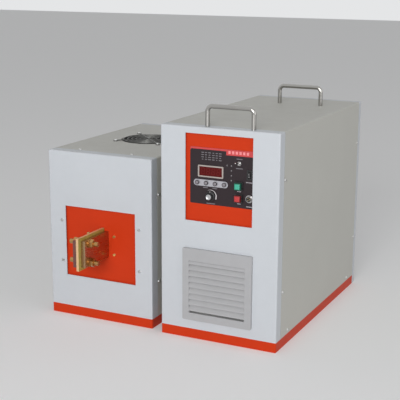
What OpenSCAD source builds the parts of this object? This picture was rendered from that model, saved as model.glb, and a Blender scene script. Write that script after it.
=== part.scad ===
/* [Power unit cabinet] */
// Width of the power unit's cabinet
pu_w = 250; // [244:1:300]
// Depth of the power unit, front face to rear face
pu_d = 500; // [480:1:600]
// Height of the power unit without its handles
pu_h = 430; // [426:1:520]

/* [Transformer unit cabinet] */
// Width of the transformer unit's cabinet
tu_w = 245; // [236:1:300]
// Depth of the transformer unit
tu_d = 400; // [360:1:500]
// Height of the transformer unit
tu_h = 355; // [340:1:420]
// Gap between the two cabinets
unit_gap = 26; // [10:1:60]
// How far the transformer unit's front stands behind the power unit's
tu_setback = 8; // [0:1:30]

/* [Sheet metal] */
// Thickness of the cabinet sheets
sheet = 1.5; // [1:0.1:2]
// Height of the orange base tray
tray_h = 20; // [16:1:24]
// Depth of the front pan's flange
front_flange = 24; // [22:1:30]
// Depth of the rear pan's flange
rear_flange = 16; // [12:1:20]
// Open seam between two sheets
seam = 0.8; // [0.4:0.1:1.2]
// Outside radius of the sheet bends
bend_r = 2.5; // [1:0.1:4]
// Thickness of the frame's angle steel
frame_t = 2; // [1.5:0.1:3]
// Width of an angle's leg along the cabinet side
frame_leg = 34; // [30:1:40]
// Width of an angle's leg behind the front and rear
frame_short_leg = 20; // [12:1:24]

/* [Control panel] */
// Width of the cut-out in the power unit's front
window_w = 142; // [140:1:150]
// Height of that cut-out
window_h = 173; // [168:1:178]
// Height of the front above the cut-out
window_top_in = 13; // [11:0.5:16]
// Depth of the panel plate behind the front face
window_recess = 5; // [4:0.5:8]
// Thickness of the panel plate
plate_t = 2; // [1.5:0.1:3]
// Thickness of the black overlay
overlay_t = 0.5; // [0.3:0.1:0.8]
// Left edge of the overlay from the cut-out's left edge
overlay_x = 8.5; // [6:0.5:10]
// Width of the overlay
overlay_w = 137; // [135:0.5:138]
// Lower edge of the overlay above the cut-out's lower edge
overlay_z = 35; // [33:0.5:36]
// Height of the overlay
overlay_h = 111.5; // [110:0.5:113]
// Width of the display bezel
bezel_w = 53.5; // [50:0.5:56]
// Height of the display bezel
bezel_h = 23; // [21:0.5:25]
// Length of the key strip
strip_w = 72.5; // [72:0.5:76]
// Height of the key strip
strip_h = 12.6; // [12:0.1:13]
// Spacing of the four keys
key_pitch = 19.1; // [18.5:0.1:19.5]
// Diameter of a key
key_d = 8.6; // [8:0.1:9]
// Skirt diameter of the power knob
knob_d = 20; // [18:0.5:22]
// Height of the power knob in front of the overlay
knob_h = 12; // [10:0.5:15]
// Face size of the two square buttons
button_w = 13; // [12:0.5:13.5]
// Outer size of a square button's collar
collar_w = 17; // [16:0.5:18]
// How far a button face stands out of the overlay
button_reach = 11; // [9:0.5:13]
// Width of the rocker switch bezel
rocker_w = 11; // [10:0.5:11]
// Height of the rocker switch bezel
rocker_h = 19; // [18:0.5:20]

/* [Handles] */
// Spacing of a handle's two feet
handle_pitch = 96; // [90:1:128]
// Diameter of the handle's rod
handle_rod = 9; // [8:0.5:10]
// Height of a handle above the cabinet
handle_reach = 44; // [40:1:50]
// Centre-line radius of the handle's bends
handle_bend = 10; // [8:0.5:14]
// Distance of the handles' middle from the cabinet's left side
handle_x = 143; // [110:1:150]
// Distance of the front handle behind the front face
front_handle_y = 13; // [12:1:14]
// Distance of the rear handle behind the front face
rear_handle_y = 386; // [200:1:420]

/* [Air intake] */
// Side of the square filter grille
grille_w = 148.5; // [145:0.5:152]
// Share of the free height between the tray and the cut-out that is below the grille
grille_low_share = 0.265; // [0.2:0.005:0.35]
// How far the grille stands out of the front
grille_proud = 6; // [5:0.5:8]
// Number of louvre slats
slat_count = 9; // [7:1:10]
// Side of the square intake fan
fan_w = 120; // [119:1:120]
// Depth of a fan frame
fan_t = 38; // [32:1:40]

// Spacing of the intake fan's mounting holes
fan_pitch = 105; // [103:0.5:106]

/* [Coil terminals] */
// Width of the transformer unit's front to the right of its cut-out
port_right_in = 38.5; // [36:0.5:42]
// Height of that cut-out
port_h = 151; // [145:1:156]
// Width of the front to the left of the cut-out
port_x = 39; // [36:1:40]
// Lower edge of the cut-out above the floor
port_z = 88; // [84:1:92]
// Thickness of the orange insulating panel
port_plate_t = 5; // [4:0.5:6]
// Thickness of the insulator board
board_t = 5.5; // [4:0.5:8]
// Height of the insulator board
board_h = 67; // [64:1:72]
// Reach of the insulator board in front of the unit
board_reach = 93; // [88:1:110]
// Thickness of a copper terminal plate
copper_t = 10; // [8:0.5:12]
// Height of a copper terminal plate
copper_h = 55; // [52:1:58]
// Reach of the right copper plate in front of the unit
copper_reach = 84; // [80:1:88]
// Diameter of the brass clamp bolts
bolt_d = 10; // [8:0.5:12]
// Length of the brass clamp bolts
bolt_l = 65.5; // [62:0.5:74]
// Spacing of the two clamp bolts
bolt_pitch = 39; // [36:1:40]
// Distance of the clamp bolts in front of the unit
bolt_reach = 66; // [60:1:70]

/* [Top fan] */
// Side of the square top fan
top_fan_w = 120; // [119:1:120]
// Diameter of the opening in the top
top_hole_d = 119; // [112:1:119]
// Spacing of the finger guard's screws
guard_pitch = 105; // [103:0.5:106]
// Diameter of the guard's wire
wire_d = 2; // [1.6:0.1:3]
// Number of guard rings
ring_count = 6; // [5:1:8]

/* [Rear fittings] */
// Reach of the water nipples behind a rear panel
nipple_reach = 40; // [34:1:50]
// Outside diameter of a nipple's hose tube
nipple_d = 10; // [8:0.5:12]
// Bore of the mains cable gland
gland_bore = 14; // [10:0.5:16]
// Diameter of the output studs
stud_d = 8; // [6:0.5:10]

/* [Hidden] */

fine = 48;
coarse = 24;
overrun = 1;
running_gap = 0.05;
slip_gap = 0.3;

// Colours as seen
white_paint = [0.80, 0.81, 0.82];
grey_paint = [0.66, 0.66, 0.63];
orange_paint = [0.82, 0.23, 0.10];
black_plastic = [0.08, 0.08, 0.09];
overlay_black = [0.21, 0.20, 0.22];
copper = [0.78, 0.45, 0.28];
brass = [0.80, 0.62, 0.25];
steel = [0.72, 0.72, 0.74];
zinc = [0.60, 0.61, 0.62];
start_green = [0.16, 0.60, 0.48];
stop_red = [0.75, 0.15, 0.15];

// Screws
screw_head_r = 3.6;
screw_head_h = 2;
screw_r = 2;
screw_l = 8;
slot_w = 0.9;
slot_depth = 0.9;

// Where the finished part stands: its box is centred in plan and rests on the floor
x_low = -(tu_w + unit_gap) - screw_head_h;
x_high = pu_w + screw_head_h;
y_low = tu_setback - board_reach;
y_high = pu_d + nipple_reach;

module placed() {
    translate([-(x_low + x_high) / 2, -(y_low + y_high) / 2, 0]) children();
}

module tu_placed() {
    placed() translate([-(tu_w + unit_gap), tu_setback, 0]) children();
}

// Where the cut-outs and the grille are in the fronts
window_z = pu_h - window_top_in - window_h;
grille_z = tray_h + (window_z - tray_h - grille_w) * grille_low_share;
port_w = tu_w - port_x - port_right_in;

// Shapes that several pieces share

// Rectangle with round corners, from its lower left corner
module rounded(w, h, r) {
    translate([r, 0]) square([w - 2 * r, h]);
    translate([0, r]) square([w, h - 2 * r]);
    for (x = [r, w - r], y = [r, h - r]) translate([x, y]) circle(r = r, $fn = fine);
}

// Outline in the XZ plane made t thick, from y = 0 backwards
module upright(t) {
    rotate([90, 0, 0]) translate([0, 0, -t]) linear_extrude(t) children();
}

module rod_x(r, l) {
    rotate([0, 90, 0]) cylinder(r = r, h = l, $fn = fine);
}

module rod_y(r, l) {
    rotate([-90, 0, 0]) cylinder(r = r, h = l, $fn = fine);
}

// Closed block with rounded upright and top edges
module cabinet_block(w, d, h, r) {
    intersection() {
        linear_extrude(h) rounded(w, d, r);
        upright(d) translate([0, -r]) rounded(w, h + r, r);
        rotate([90, 0, 90]) linear_extrude(w) translate([0, -r]) rounded(d, h + r, r);
    }
}

// Part of a hollow cabinet between two depths and two heights
module cabinet_slice(w, d, h, y0, y1, z0, z1) {
    difference() {
        intersection() {
            cabinet_block(w, d, h, bend_r);
            translate([-overrun, y0, z0]) cube([w + 2 * overrun, y1 - y0, z1 - z0]);
        }
        translate([sheet, sheet, sheet]) cube([w - 2 * sheet, d - 2 * sheet, h - 2 * sheet]);
    }
}

// Pan-head screw, head on +Z, shank on -Z, with a cross slot
module pan_screw(head_r, head_h, shank_r, shank_l) {
    difference() {
        union() {
            cylinder(r1 = head_r, r2 = head_r * head_taper_share, h = head_h, $fn = coarse);
            translate([0, 0, -shank_l]) cylinder(r = shank_r, h = shank_l + head_h / 2, $fn = coarse);
        }
        for (a = [0, 90]) rotate([0, 0, a])
            translate([-head_r * slot_reach_share, -slot_w / 2, head_h - slot_depth])
                cube([2 * head_r * slot_reach_share, slot_w, slot_depth + overrun]);
    }
}
head_taper_share = 0.7;
slot_reach_share = 0.55;

module panel_screw() {
    pan_screw(screw_head_r, screw_head_h, screw_r, screw_l);
}

// Hexagon nut or head along +Z, af across the flats
module hexagon(af, h) {
    cylinder(r = af / 2 / cos(30), h = h, $fn = 6);
}

// Shallow pan behind a cut-out: a rim that meets the front sheet, and a plate at the recess
module recessed_plate(w, h, recess, t, rim) {
    difference() {
        translate([-rim, sheet, -rim]) cube([w + 2 * rim, recess + t - sheet, h + 2 * rim]);
        translate([-rim + plate_t, sheet - overrun, -rim + plate_t])
            cube([w + 2 * (rim - plate_t), recess - sheet + overrun, h + 2 * (rim - plate_t)]);
    }
}

// Fan frame along +Z from z = 0: square body, round duct, motor seat on three struts
fan_wall = 2.5;
fan_hub_r = 26;
fan_seat_t = 3;
fan_shaft_r = 3;
fan_corner_r = 4;
strut_w = 5;
strut_in = 0.5;
module fan_frame_body(w, t, pitch) {
    duct_r = w / 2 - fan_wall;
    difference() {
        linear_extrude(t) rounded(w, w, fan_corner_r);
        translate([w / 2, w / 2, -overrun]) cylinder(r = duct_r, h = t + 2 * overrun, $fn = fine);
        for (sx = [-1, 1], sy = [-1, 1])
            translate([w / 2 + sx * pitch / 2, w / 2 + sy * pitch / 2, -overrun])
                cylinder(r = screw_r + running_gap, h = t + 2 * overrun, $fn = coarse);
    }
    translate([w / 2, w / 2, 0]) {
        cylinder(r = fan_hub_r, h = fan_seat_t, $fn = fine);
        cylinder(r = fan_shaft_r, h = t - fan_seat_t, $fn = fine);
        for (a = [30, 150, 270]) rotate([0, 0, a])
            translate([0, -strut_w / 2, strut_in])
                cube([duct_r + fan_wall / 2, strut_w, fan_seat_t - 2 * strut_in]);
    }
}

// Fan rotor for that frame, about its own axis
blade_count = 7;
blade_t = 2;
blade_tilt = 40;
blade_tip_gap = 2;
rotor_gap = 1;
module fan_rotor_body(w, t) {
    duct_r = w / 2 - fan_wall;
    tip_r = duct_r - blade_tip_gap;
    z0 = fan_seat_t + rotor_gap;
    rotor_t = t - z0 - rotor_gap;
    bore_l = t - fan_seat_t - z0 + rotor_gap + overrun;
    difference() {
        union() {
            translate([0, 0, z0]) cylinder(r = fan_hub_r, h = rotor_t, $fn = fine);
            intersection() {
                translate([0, 0, z0]) cylinder(r = tip_r, h = rotor_t, $fn = fine);
                for (i = [0 : blade_count - 1]) rotate([0, 0, i * 360 / blade_count])
                    translate([fan_hub_r / 2, 0, z0 + rotor_t / 2]) rotate([blade_tilt, 0, 0])
                        translate([0, -rotor_t, -blade_t / 2]) cube([w / 2, 2 * rotor_t, blade_t]);
            }
        }
        translate([0, 0, z0 - overrun])
            cylinder(r = fan_shaft_r + running_gap, h = bore_l, $fn = fine);
    }
}

// Hose nipple along +Y from a rear sheet at y = 0: thread, nut inside and outside, tube with a bore
nipple_bore = 6;
nipple_thread_out = 1;
nipple_thread_r = nipple_d / 2 + nipple_thread_out;
nipple_hex = 17;
nipple_hex_t = 8;
nipple_tail = 22;
barb_count = 4;
barb_cut = 0.9;
barb_pitch = 5;
barb_first = 3;
module nipple() {
    difference() {
        union() {
            translate([0, -nipple_tail, 0]) rod_y(nipple_thread_r, nipple_tail + nipple_hex_t / 2);
            rod_y(nipple_d / 2, nipple_reach);
            rotate([-90, 0, 0]) hexagon(nipple_hex, nipple_hex_t);
            translate([0, -sheet - nipple_hex_t, 0]) rotate([-90, 0, 0]) hexagon(nipple_hex, nipple_hex_t);
        }
        translate([0, -nipple_tail - overrun, 0])
            rod_y(nipple_bore / 2, nipple_tail + nipple_reach + 2 * overrun);
        for (i = [1 : barb_count]) translate([0, nipple_reach - barb_first - i * barb_pitch, 0])
            rotate([-90, 0, 0]) barb_groove();
    }
}

// Tapered groove that leaves one barb of the hose tube at its full diameter
module barb_groove() {
    tube_r = nipple_d / 2;
    root_r = tube_r - barb_cut;
    groove_w = barb_pitch - barb_cut;
    difference() {
        cylinder(r = tube_r + overrun, h = groove_w, $fn = fine);
        translate([0, 0, -overrun]) cylinder(r = root_r, h = overrun + running_gap, $fn = fine);
        cylinder(r1 = root_r, r2 = tube_r + running_gap, h = groove_w, $fn = fine);
    }
}

// Power unit: cabinet

window_x = (pu_w - window_w) / 2;
rear_inner_y = pu_d - rear_flange - seam;
cover_y = front_flange + seam;
plate_rim = 8;

module base_tray() {
    color(orange_paint) placed() cabinet_slice(pu_w, pu_d, pu_h, 0, rear_inner_y, 0, tray_h);
}

// Places of the side screws: three on each side edge, as depth and height
edge_in = 4.5;
side_screw_y = cover_y + edge_in;
side_screw_high_z = 337;
side_screw_low_z = 115;
foot_screw_y = 62;
foot_rise = 7;
foot_screw_z = tray_h + foot_rise;
rear_screw_y = rear_inner_y - edge_in;
pu_side_screws = [
    [side_screw_y, side_screw_high_z], [side_screw_y, side_screw_low_z],
    [foot_screw_y, foot_screw_z], [pu_d - foot_screw_y, foot_screw_z],
    [rear_screw_y, side_screw_high_z], [rear_screw_y, side_screw_low_z]
];

module side_screw_pair(w, p, r, l) {
    translate([-l, p[0], p[1]]) rod_x(r, w + 2 * l);
}

module chassis_frame() {
    inner_w = pu_w - 2 * sheet;
    inner_d = pu_d - 2 * sheet;
    inner_h = pu_h - 2 * sheet;
    color(zinc) placed() difference() {
        translate([sheet, sheet, sheet]) {
            for (right = [0, 1]) translate([right ? inner_w : 0, 0, 0]) mirror([right, 0, 0]) {
                for (back = [0, 1]) translate([0, back ? inner_d : 0, 0]) mirror([0, back, 0]) {
                    cube([frame_t, frame_leg, inner_h]);
                    cube([frame_short_leg, frame_t, inner_h]);
                }
                cube([frame_t, inner_d, frame_leg]);
                translate([0, 0, inner_h - frame_leg]) cube([frame_t, inner_d, frame_leg]);
                translate([0, 0, shelf_z - sheet - frame_t]) cube([frame_short_leg, inner_d, frame_t]);
                translate([0, 0, shelf_z - sheet - frame_leg / 2]) cube([frame_t, inner_d, frame_leg / 2]);
            }
            translate([0, shelf_y, shelf_z - sheet]) cube([inner_w, shelf_d, frame_t]);
        }
        for (p = pu_side_screws) side_screw_pair(pu_w, p, screw_r + running_gap, screw_l);
    }
}

// Equipment shelf of the frame
shelf_z = 205;
shelf_y = 120;
shelf_rear_in = 60;
shelf_d = pu_d - shelf_y - shelf_rear_in;

module front_panel() {
    color(white_paint) placed() difference() {
        cabinet_slice(pu_w, pu_d, pu_h, 0, front_flange, tray_h, pu_h);
        translate([window_x, -overrun, window_z]) cube([window_w, sheet + 2 * overrun, window_h]);
        translate([(pu_w - spigot_w) / 2 - slip_gap, -overrun, grille_cz - spigot_w / 2 - slip_gap])
            cube([spigot_w + 2 * slip_gap, sheet + 2 * overrun, spigot_w + 2 * slip_gap]);
        for (x = handle_feet_x) translate([x, front_handle_y, pu_h - sheet - overrun])
            cylinder(r = handle_screw_r + slip_gap, h = sheet + 2 * overrun, $fn = fine);
    }
}

module cover() {
    color(grey_paint) placed() difference() {
        cabinet_slice(pu_w, pu_d, pu_h, cover_y, rear_inner_y, tray_h, pu_h);
        for (x = handle_feet_x) translate([x, rear_handle_y, pu_h - sheet - overrun])
            cylinder(r = handle_screw_r + slip_gap, h = sheet + 2 * overrun, $fn = fine);
        for (p = pu_side_screws) side_screw_pair(pu_w, p, screw_r + slip_gap, screw_l);
    }
}

// Places of the rear fittings, as shares of the cabinet's width and height
gland_share = [0.24, 0.16];
nipple_shares = [[0.50, 0.16], [0.66, 0.16], [0.82, 0.16]];
output_shares = [[0.40, 0.50], [0.60, 0.50]];
function rear_at(s, w, h) = [s[0] * w, s[1] * h];
gland_wall = 3;
gland_thread_r = gland_bore / 2 + gland_wall;
stud_neck_r = 7;
outlet_slots = 7;
outlet_w = 120;
outlet_h = 6;
outlet_pitch = 12;
outlet_share = 0.68;

module rear_panel() {
    color(white_paint) placed() difference() {
        cabinet_slice(pu_w, pu_d, pu_h, pu_d - rear_flange, pu_d, 0, pu_h);
        translate([0, pu_d - sheet - overrun, 0]) {
            g = rear_at(gland_share, pu_w, pu_h);
            translate([g[0], 0, g[1]]) rod_y(gland_thread_r + slip_gap, sheet + 2 * overrun);
            for (s = nipple_shares) {
                p = rear_at(s, pu_w, pu_h);
                translate([p[0], 0, p[1]]) rod_y(nipple_thread_r + slip_gap, sheet + 2 * overrun);
            }
            for (s = output_shares) {
                p = rear_at(s, pu_w, pu_h);
                translate([p[0], 0, p[1]]) rod_y(stud_neck_r + slip_gap, sheet + 2 * overrun);
            }
            for (i = [0 : outlet_slots - 1])
                translate([(pu_w - outlet_w) / 2, 0, pu_h * outlet_share + i * outlet_pitch])
                    cube([outlet_w, sheet + 2 * overrun, outlet_h]);
        }
    }
}

module cabinet_screws() {
    color(steel) placed() for (p = pu_side_screws) {
        translate([pu_w, p[0], p[1]]) rotate([0, 90, 0]) panel_screw();
        translate([0, p[0], p[1]]) rotate([0, -90, 0]) panel_screw();
    }
}

// Power unit: handles

handle_feet_x = [handle_x - handle_pitch / 2, handle_x + handle_pitch / 2];
handle_screw_r = 2.5;
handle_screw_head_r = 4.5;
handle_screw_head_h = 3;
handle_screw_l = 12;

module handle_body() {
    rod_r = handle_rod / 2;
    leg_h = handle_reach - rod_r - handle_bend;
    difference() {
        union() {
            for (s = [-1, 1]) translate([s * handle_pitch / 2, 0, 0])
                cylinder(r = rod_r, h = leg_h, $fn = fine);
            translate([handle_bend - handle_pitch / 2, 0, handle_reach - rod_r])
                rod_x(rod_r, handle_pitch - 2 * handle_bend);
            for (m = [0, 1]) mirror([m, 0, 0])
                translate([handle_pitch / 2 - handle_bend, 0, leg_h]) rotate([90, 0, 0])
                    rotate_extrude(angle = 90, $fn = fine) translate([handle_bend, 0])
                        circle(r = rod_r, $fn = fine);
        }
        for (s = [-1, 1]) translate([s * handle_pitch / 2, 0, -overrun])
            cylinder(r = handle_screw_r + running_gap, h = handle_screw_l + overrun, $fn = coarse);
    }
}

module handles() {
    color(steel) placed() for (y = [front_handle_y, rear_handle_y])
        translate([handle_x, y, pu_h]) handle_body();
}

module handle_screws() {
    color(steel) placed() for (x = handle_feet_x, y = [front_handle_y, rear_handle_y])
        translate([x, y, pu_h - sheet]) rotate([180, 0, 0])
            pan_screw(handle_screw_head_r, handle_screw_head_h, handle_screw_r, handle_screw_l);
}

// Power unit: control panel. Places are from the cut-out's lower left corner.

face_y = window_recess - overlay_t;
display_col = 53;
button_col = 112.5;
side_col = 134;
led_col = 96;
display_row = 100.5;
key_row = 77.3;
knob_row = 52;
toggle_row = 121.3;
start_row = 78.2;
stop_row = 54.4;
rocker_row = 101;
socket_row = 55;
led_row = 115.3;
led_pitch = 9.45;
led_step = 9;
led_count = 4;
key_count = 4;
function key_at(i) = display_col + (i - (key_count - 1) / 2) * key_pitch;

module panel_at(x, z, y) {
    placed() translate([window_x + x, y, window_z + z]) children();
}

// Holes of the devices, grown by a gap, drawn from plane y through a thickness t
lens_w = 50.3;
lens_h = 20.1;
switch_body_w = 12;
bushing_r = 3;
pot_bushing_r = 3.5;
socket_r = 6;
led_r = 1.5;
key_stem_r = 2;
module panel_holes(y, t, gap) {
    translate([0, y, 0]) {
        translate([display_col - lens_w / 2 - gap, 0, display_row - lens_h / 2 - gap])
            cube([lens_w + 2 * gap, t, lens_h + 2 * gap]);
        for (i = [0 : key_count - 1]) translate([key_at(i), 0, key_row])
            rod_y(key_stem_r + gap, t);
        translate([display_col, 0, knob_row]) rod_y(pot_bushing_r + gap, t);
        translate([button_col, 0, toggle_row]) rod_y(bushing_r + gap, t);
        for (z = [start_row, stop_row])
            translate([button_col - switch_body_w / 2 - gap, 0, z - switch_body_w / 2 - gap])
                cube([switch_body_w + 2 * gap, t, switch_body_w + 2 * gap]);
        translate([side_col - rocker_cut_w / 2 - gap, 0, rocker_row - rocker_cut_h / 2 - gap])
            cube([rocker_cut_w + 2 * gap, t, rocker_cut_h + 2 * gap]);
        translate([side_col, 0, socket_row]) rod_y(socket_r + gap, t);
        for (p = led_places) translate([p[0], 0, p[1]]) rod_y(led_r + gap, t);
    }
}
led_places = concat(
    [for (i = [0 : led_count - 1]) [led_col, led_row - i * led_pitch]],
    [[led_col - led_step, led_row]]
);
rocker_lip = 1.5;
rocker_cut_w = rocker_w - 2 * rocker_lip;
rocker_cut_h = rocker_h - 2 * rocker_lip;

module control_plate() {
    color(orange_paint) placed() translate([window_x, 0, window_z]) difference() {
        recessed_plate(window_w, window_h, window_recess, plate_t, plate_rim);
        panel_holes(window_recess - overrun, plate_t + 2 * overrun, slip_gap);
    }
}

overlay_r = 3;
module panel_overlay() {
    color(overlay_black) placed() translate([window_x, 0, window_z]) difference() {
        translate([overlay_x, face_y, overlay_z])
            upright(overlay_t) rounded(overlay_w, overlay_h, overlay_r);
        panel_holes(face_y - overrun, overlay_t + 2 * overrun, slip_gap);
    }
}

bezel_t = 2.5;
bezel_r = 1.8;
module display_bezel() {
    color([0.75, 0.72, 0.72]) panel_at(display_col, display_row, face_y - bezel_t) difference() {
        union() {
            translate([-bezel_w / 2, 0, -bezel_h / 2]) upright(bezel_t) rounded(bezel_w, bezel_h, bezel_r);
            translate([-lens_w / 2, bezel_t, -lens_h / 2]) cube([lens_w, bezel_tail, lens_h]);
        }
        translate([-lens_w / 2 + bezel_wall, -overrun, -lens_h / 2 + bezel_wall])
            cube([lens_w - 2 * bezel_wall, bezel_t + bezel_tail + 2 * overrun, lens_h - 2 * bezel_wall]);
    }
}
bezel_wall = 1;
bezel_tail_free = 4;
bezel_tail = plate_t + overlay_t + bezel_tail_free;
lens_t = 2;
lens_sink = 1;

module display_window() {
    color([0.25, 0.03, 0.04]) panel_at(display_col, display_row, face_y - bezel_t + lens_sink)
        translate([-lens_w / 2 + bezel_wall, 0, -lens_h / 2 + bezel_wall])
            cube([lens_w - 2 * bezel_wall, lens_t, lens_h - 2 * bezel_wall]);
}

strip_t = 1;
module key_strip() {
    color([0.75, 0.74, 0.78]) panel_at(display_col, key_row, face_y - strip_t) difference() {
        upright(strip_t) {
            translate([-strip_w / 2 + strip_h / 2, -strip_h / 2]) square([strip_w - strip_h, strip_h]);
            for (s = [-1, 1]) translate([s * (strip_w - strip_h) / 2, 0]) circle(r = strip_h / 2, $fn = fine);
        }
        for (i = [0 : key_count - 1]) translate([key_at(i) - display_col, -overrun, 0])
            rod_y(key_stem_r + slip_gap, strip_t + 2 * overrun);
    }
}

// One key: a round cap on a stem that passes through the strip to the board behind
key_travel = 0.8;
key_cap_t = 1.6;
board_gap = 9;
key_stem_l = strip_t + overlay_t + plate_t + board_gap - key_travel;
module key(i) {
    key_y = face_y - strip_t - key_travel - slip_gap - key_cap_t;
    color([0.35, 0.33, 0.36]) panel_at(key_at(i), key_row, key_y) {
        rod_y(key_d / 2, key_cap_t);
        translate([0, key_cap_t, 0]) rod_y(key_stem_r, key_stem_l + key_travel);
    }
}

module key_1() {
    key(0);
}

module key_2() {
    key(1);
}

module key_3() {
    key(2);
}

module key_4() {
    key(3);
}

// Knob with a skirt, a waist and a cap, on the potentiometer's shaft
knob_skirt_h = 4;
knob_skirt_out = 3;
knob_waist_r = knob_d / 2 - knob_skirt_out;
knob_cap_r = 5.3;
pot_shaft_r = 3;
pot_shaft_l = 9;
pot_nut_af = 11;
pot_nut_t = 2;
pot_body_r = 12;
pot_body_t = 14;
module power_knob() {
    color(black_plastic) panel_at(display_col, knob_row, face_y - knob_h - slip_gap) difference() {
        union() {
            rod_y(knob_cap_r, knob_h);
            translate([0, knob_dome, 0]) rod_y(knob_waist_r, knob_h - knob_dome);
            translate([0, knob_h - knob_skirt_h, 0]) rod_y(knob_d / 2, knob_skirt_h);
        }
        translate([0, knob_h - pot_shaft_l, 0]) rod_y(pot_shaft_r + running_gap, pot_shaft_l + overrun);
        translate([0, knob_h - pot_nut_t - overrun, 0])
            rod_y(pot_nut_af * nut_clear_share, pot_nut_t + 2 * overrun);
    }
}
knob_dome = 1.5;
nut_clear_share = 0.7;

module potentiometer() {
    color(zinc) panel_at(display_col, knob_row, 0) {
        back_y = window_recess + plate_t;
        translate([0, face_y - pot_shaft_l, 0]) rod_y(pot_shaft_r, pot_shaft_l + overlay_t);
        translate([0, face_y - pot_nut_t, 0]) rotate([-90, 0, 0]) hexagon(pot_nut_af, pot_nut_t);
        translate([0, face_y - pot_nut_t, 0]) rod_y(pot_bushing_r, back_y - face_y + pot_nut_t);
        translate([0, back_y, 0]) rod_y(pot_body_r, pot_body_t);
    }
}

// Toggle switch: threaded bushing, nut and body, with a lever on a cross pin
toggle_reach = 5;
toggle_nut_af = 8;
toggle_nut_t = 2;
toggle_body_w = 8;
toggle_body_h = 13;
toggle_body_t = 10;
toggle_mouth_r = 2.4;
lever_tip_r = 1.5;
lever_root_r = 0.9;
lever_l = 13;
lever_tilt = 12;
lever_ball_r = 1.6;
toggle_well = 6;
module toggle_body() {
    color(steel) panel_at(button_col, toggle_row, 0) {
        back_y = window_recess + plate_t;
        difference() {
            union() {
                translate([0, face_y - toggle_reach, 0]) rod_y(bushing_r, back_y - face_y + toggle_reach);
                translate([0, face_y - toggle_nut_t, 0]) rotate([-90, 0, 0])
                    hexagon(toggle_nut_af, toggle_nut_t);
                translate([-toggle_body_w / 2, back_y, -toggle_body_h / 2])
                    cube([toggle_body_w, toggle_body_t, toggle_body_h]);
            }
            translate([0, face_y - toggle_reach - overrun, 0]) rod_y(toggle_mouth_r, toggle_well + overrun);
        }
    }
}

// The lever turns about a level pin in the bottom of the bushing's well
lever_pivot_y = face_y - toggle_reach + toggle_well - lever_ball_r - running_gap;
module toggle_lever() {
    color(steel) panel_at(button_col, toggle_row, lever_pivot_y) {
        sphere(r = lever_ball_r, $fn = fine);
        rotate([-lever_tilt, 0, 0]) rotate([90, 0, 0]) {
            cylinder(r1 = lever_root_r, r2 = lever_tip_r, h = toggle_well + lever_l, $fn = fine);
            translate([0, 0, toggle_well + lever_l]) sphere(r = lever_tip_r, $fn = fine);
        }
    }
}

// Square push buttons: a collar with a well, and a cap that slides in it
button_travel = 3;
collar_reach = 4;
well_w = button_w + 2 * slip_gap;
button_stem_r = 2.5;
button_body_t = 16;
module button_housings() {
    color(black_plastic) for (row = [start_row, stop_row])
        panel_at(button_col, row, face_y - collar_reach) difference() {
        union() {
            translate([-collar_w / 2, 0, -collar_w / 2]) cube([collar_w, collar_reach, collar_w]);
            translate([-switch_body_w / 2, collar_reach, -switch_body_w / 2])
                cube([switch_body_w, button_body_t, switch_body_w]);
        }
        translate([-well_w / 2, -overrun, -well_w / 2])
            cube([well_w, collar_reach - collar_floor + overrun, well_w]);
        rod_y(button_stem_r + running_gap, collar_reach + button_stem_l);
    }
}
collar_floor = 0.5;
button_stem_l = 10;

module button_cap(row, tint) {
    color(tint) panel_at(button_col, row, face_y - button_reach) {
        cap_t = button_reach - collar_floor - button_travel - slip_gap;
        translate([-button_w / 2, 0, -button_w / 2]) upright(cap_t) rounded(button_w, button_w, button_r);
        translate([0, cap_t, 0]) rod_y(button_stem_r, button_stem_l);
    }
}
button_r = 1;

module start_button() {
    button_cap(start_row, start_green);
}

module stop_button() {
    button_cap(stop_row, stop_red);
}

// Rocker switch: a bezel with a well, and a rocker on a level pin
rocker_bezel_t = 2;
rocker_wall = 1;
rocker_body_t = 14;
rocker_well = 8;
rocker_pin_r = 1;
rocker_tilt = 9;
rocker_side_gap = 0.4;
rocker_pivot_in = 2.5;
module rocker_housing() {
    color(black_plastic) panel_at(side_col, rocker_row, face_y - rocker_bezel_t) difference() {
        union() {
            translate([-rocker_w / 2, 0, -rocker_h / 2]) cube([rocker_w, rocker_bezel_t, rocker_h]);
            translate([-rocker_cut_w / 2, rocker_bezel_t, -rocker_cut_h / 2])
                cube([rocker_cut_w, rocker_body_t, rocker_cut_h]);
        }
        translate([-rocker_cut_w / 2 + rocker_wall, -overrun, -rocker_cut_h / 2 + rocker_wall])
            cube([rocker_cut_w - 2 * rocker_wall, rocker_well + overrun, rocker_cut_h - 2 * rocker_wall]);
        translate([-rocker_cut_w / 2, rocker_pivot_in, 0]) rod_x(rocker_pin_r + running_gap, rocker_cut_w);
    }
}

module rocker() {
    paddle_w = rocker_cut_w - 2 * rocker_wall - 2 * rocker_side_gap;
    paddle_h = rocker_cut_h - 2 * rocker_wall - 2 * rocker_side_gap;
    color(black_plastic) panel_at(side_col, rocker_row, face_y - rocker_bezel_t + rocker_pivot_in)
        rotate([rocker_tilt, 0, 0]) {
            translate([-paddle_w / 2, 0, 0]) difference() {
                rod_x(paddle_h / 2 - rocker_edge, paddle_w);
                translate([-overrun, rocker_pin_r + rocker_edge, -paddle_h])
                    cube([paddle_w + 2 * overrun, paddle_h, 2 * paddle_h]);
                translate([-overrun, -paddle_h - rocker_face, -paddle_h])
                    cube([paddle_w + 2 * overrun, paddle_h, 2 * paddle_h]);
            }
            translate([-rocker_cut_w / 2 + running_gap, 0, 0])
                rod_x(rocker_pin_r, rocker_cut_w - 2 * running_gap);
        }
}
rocker_edge = 0.6;
rocker_face = 4.5;

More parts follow.
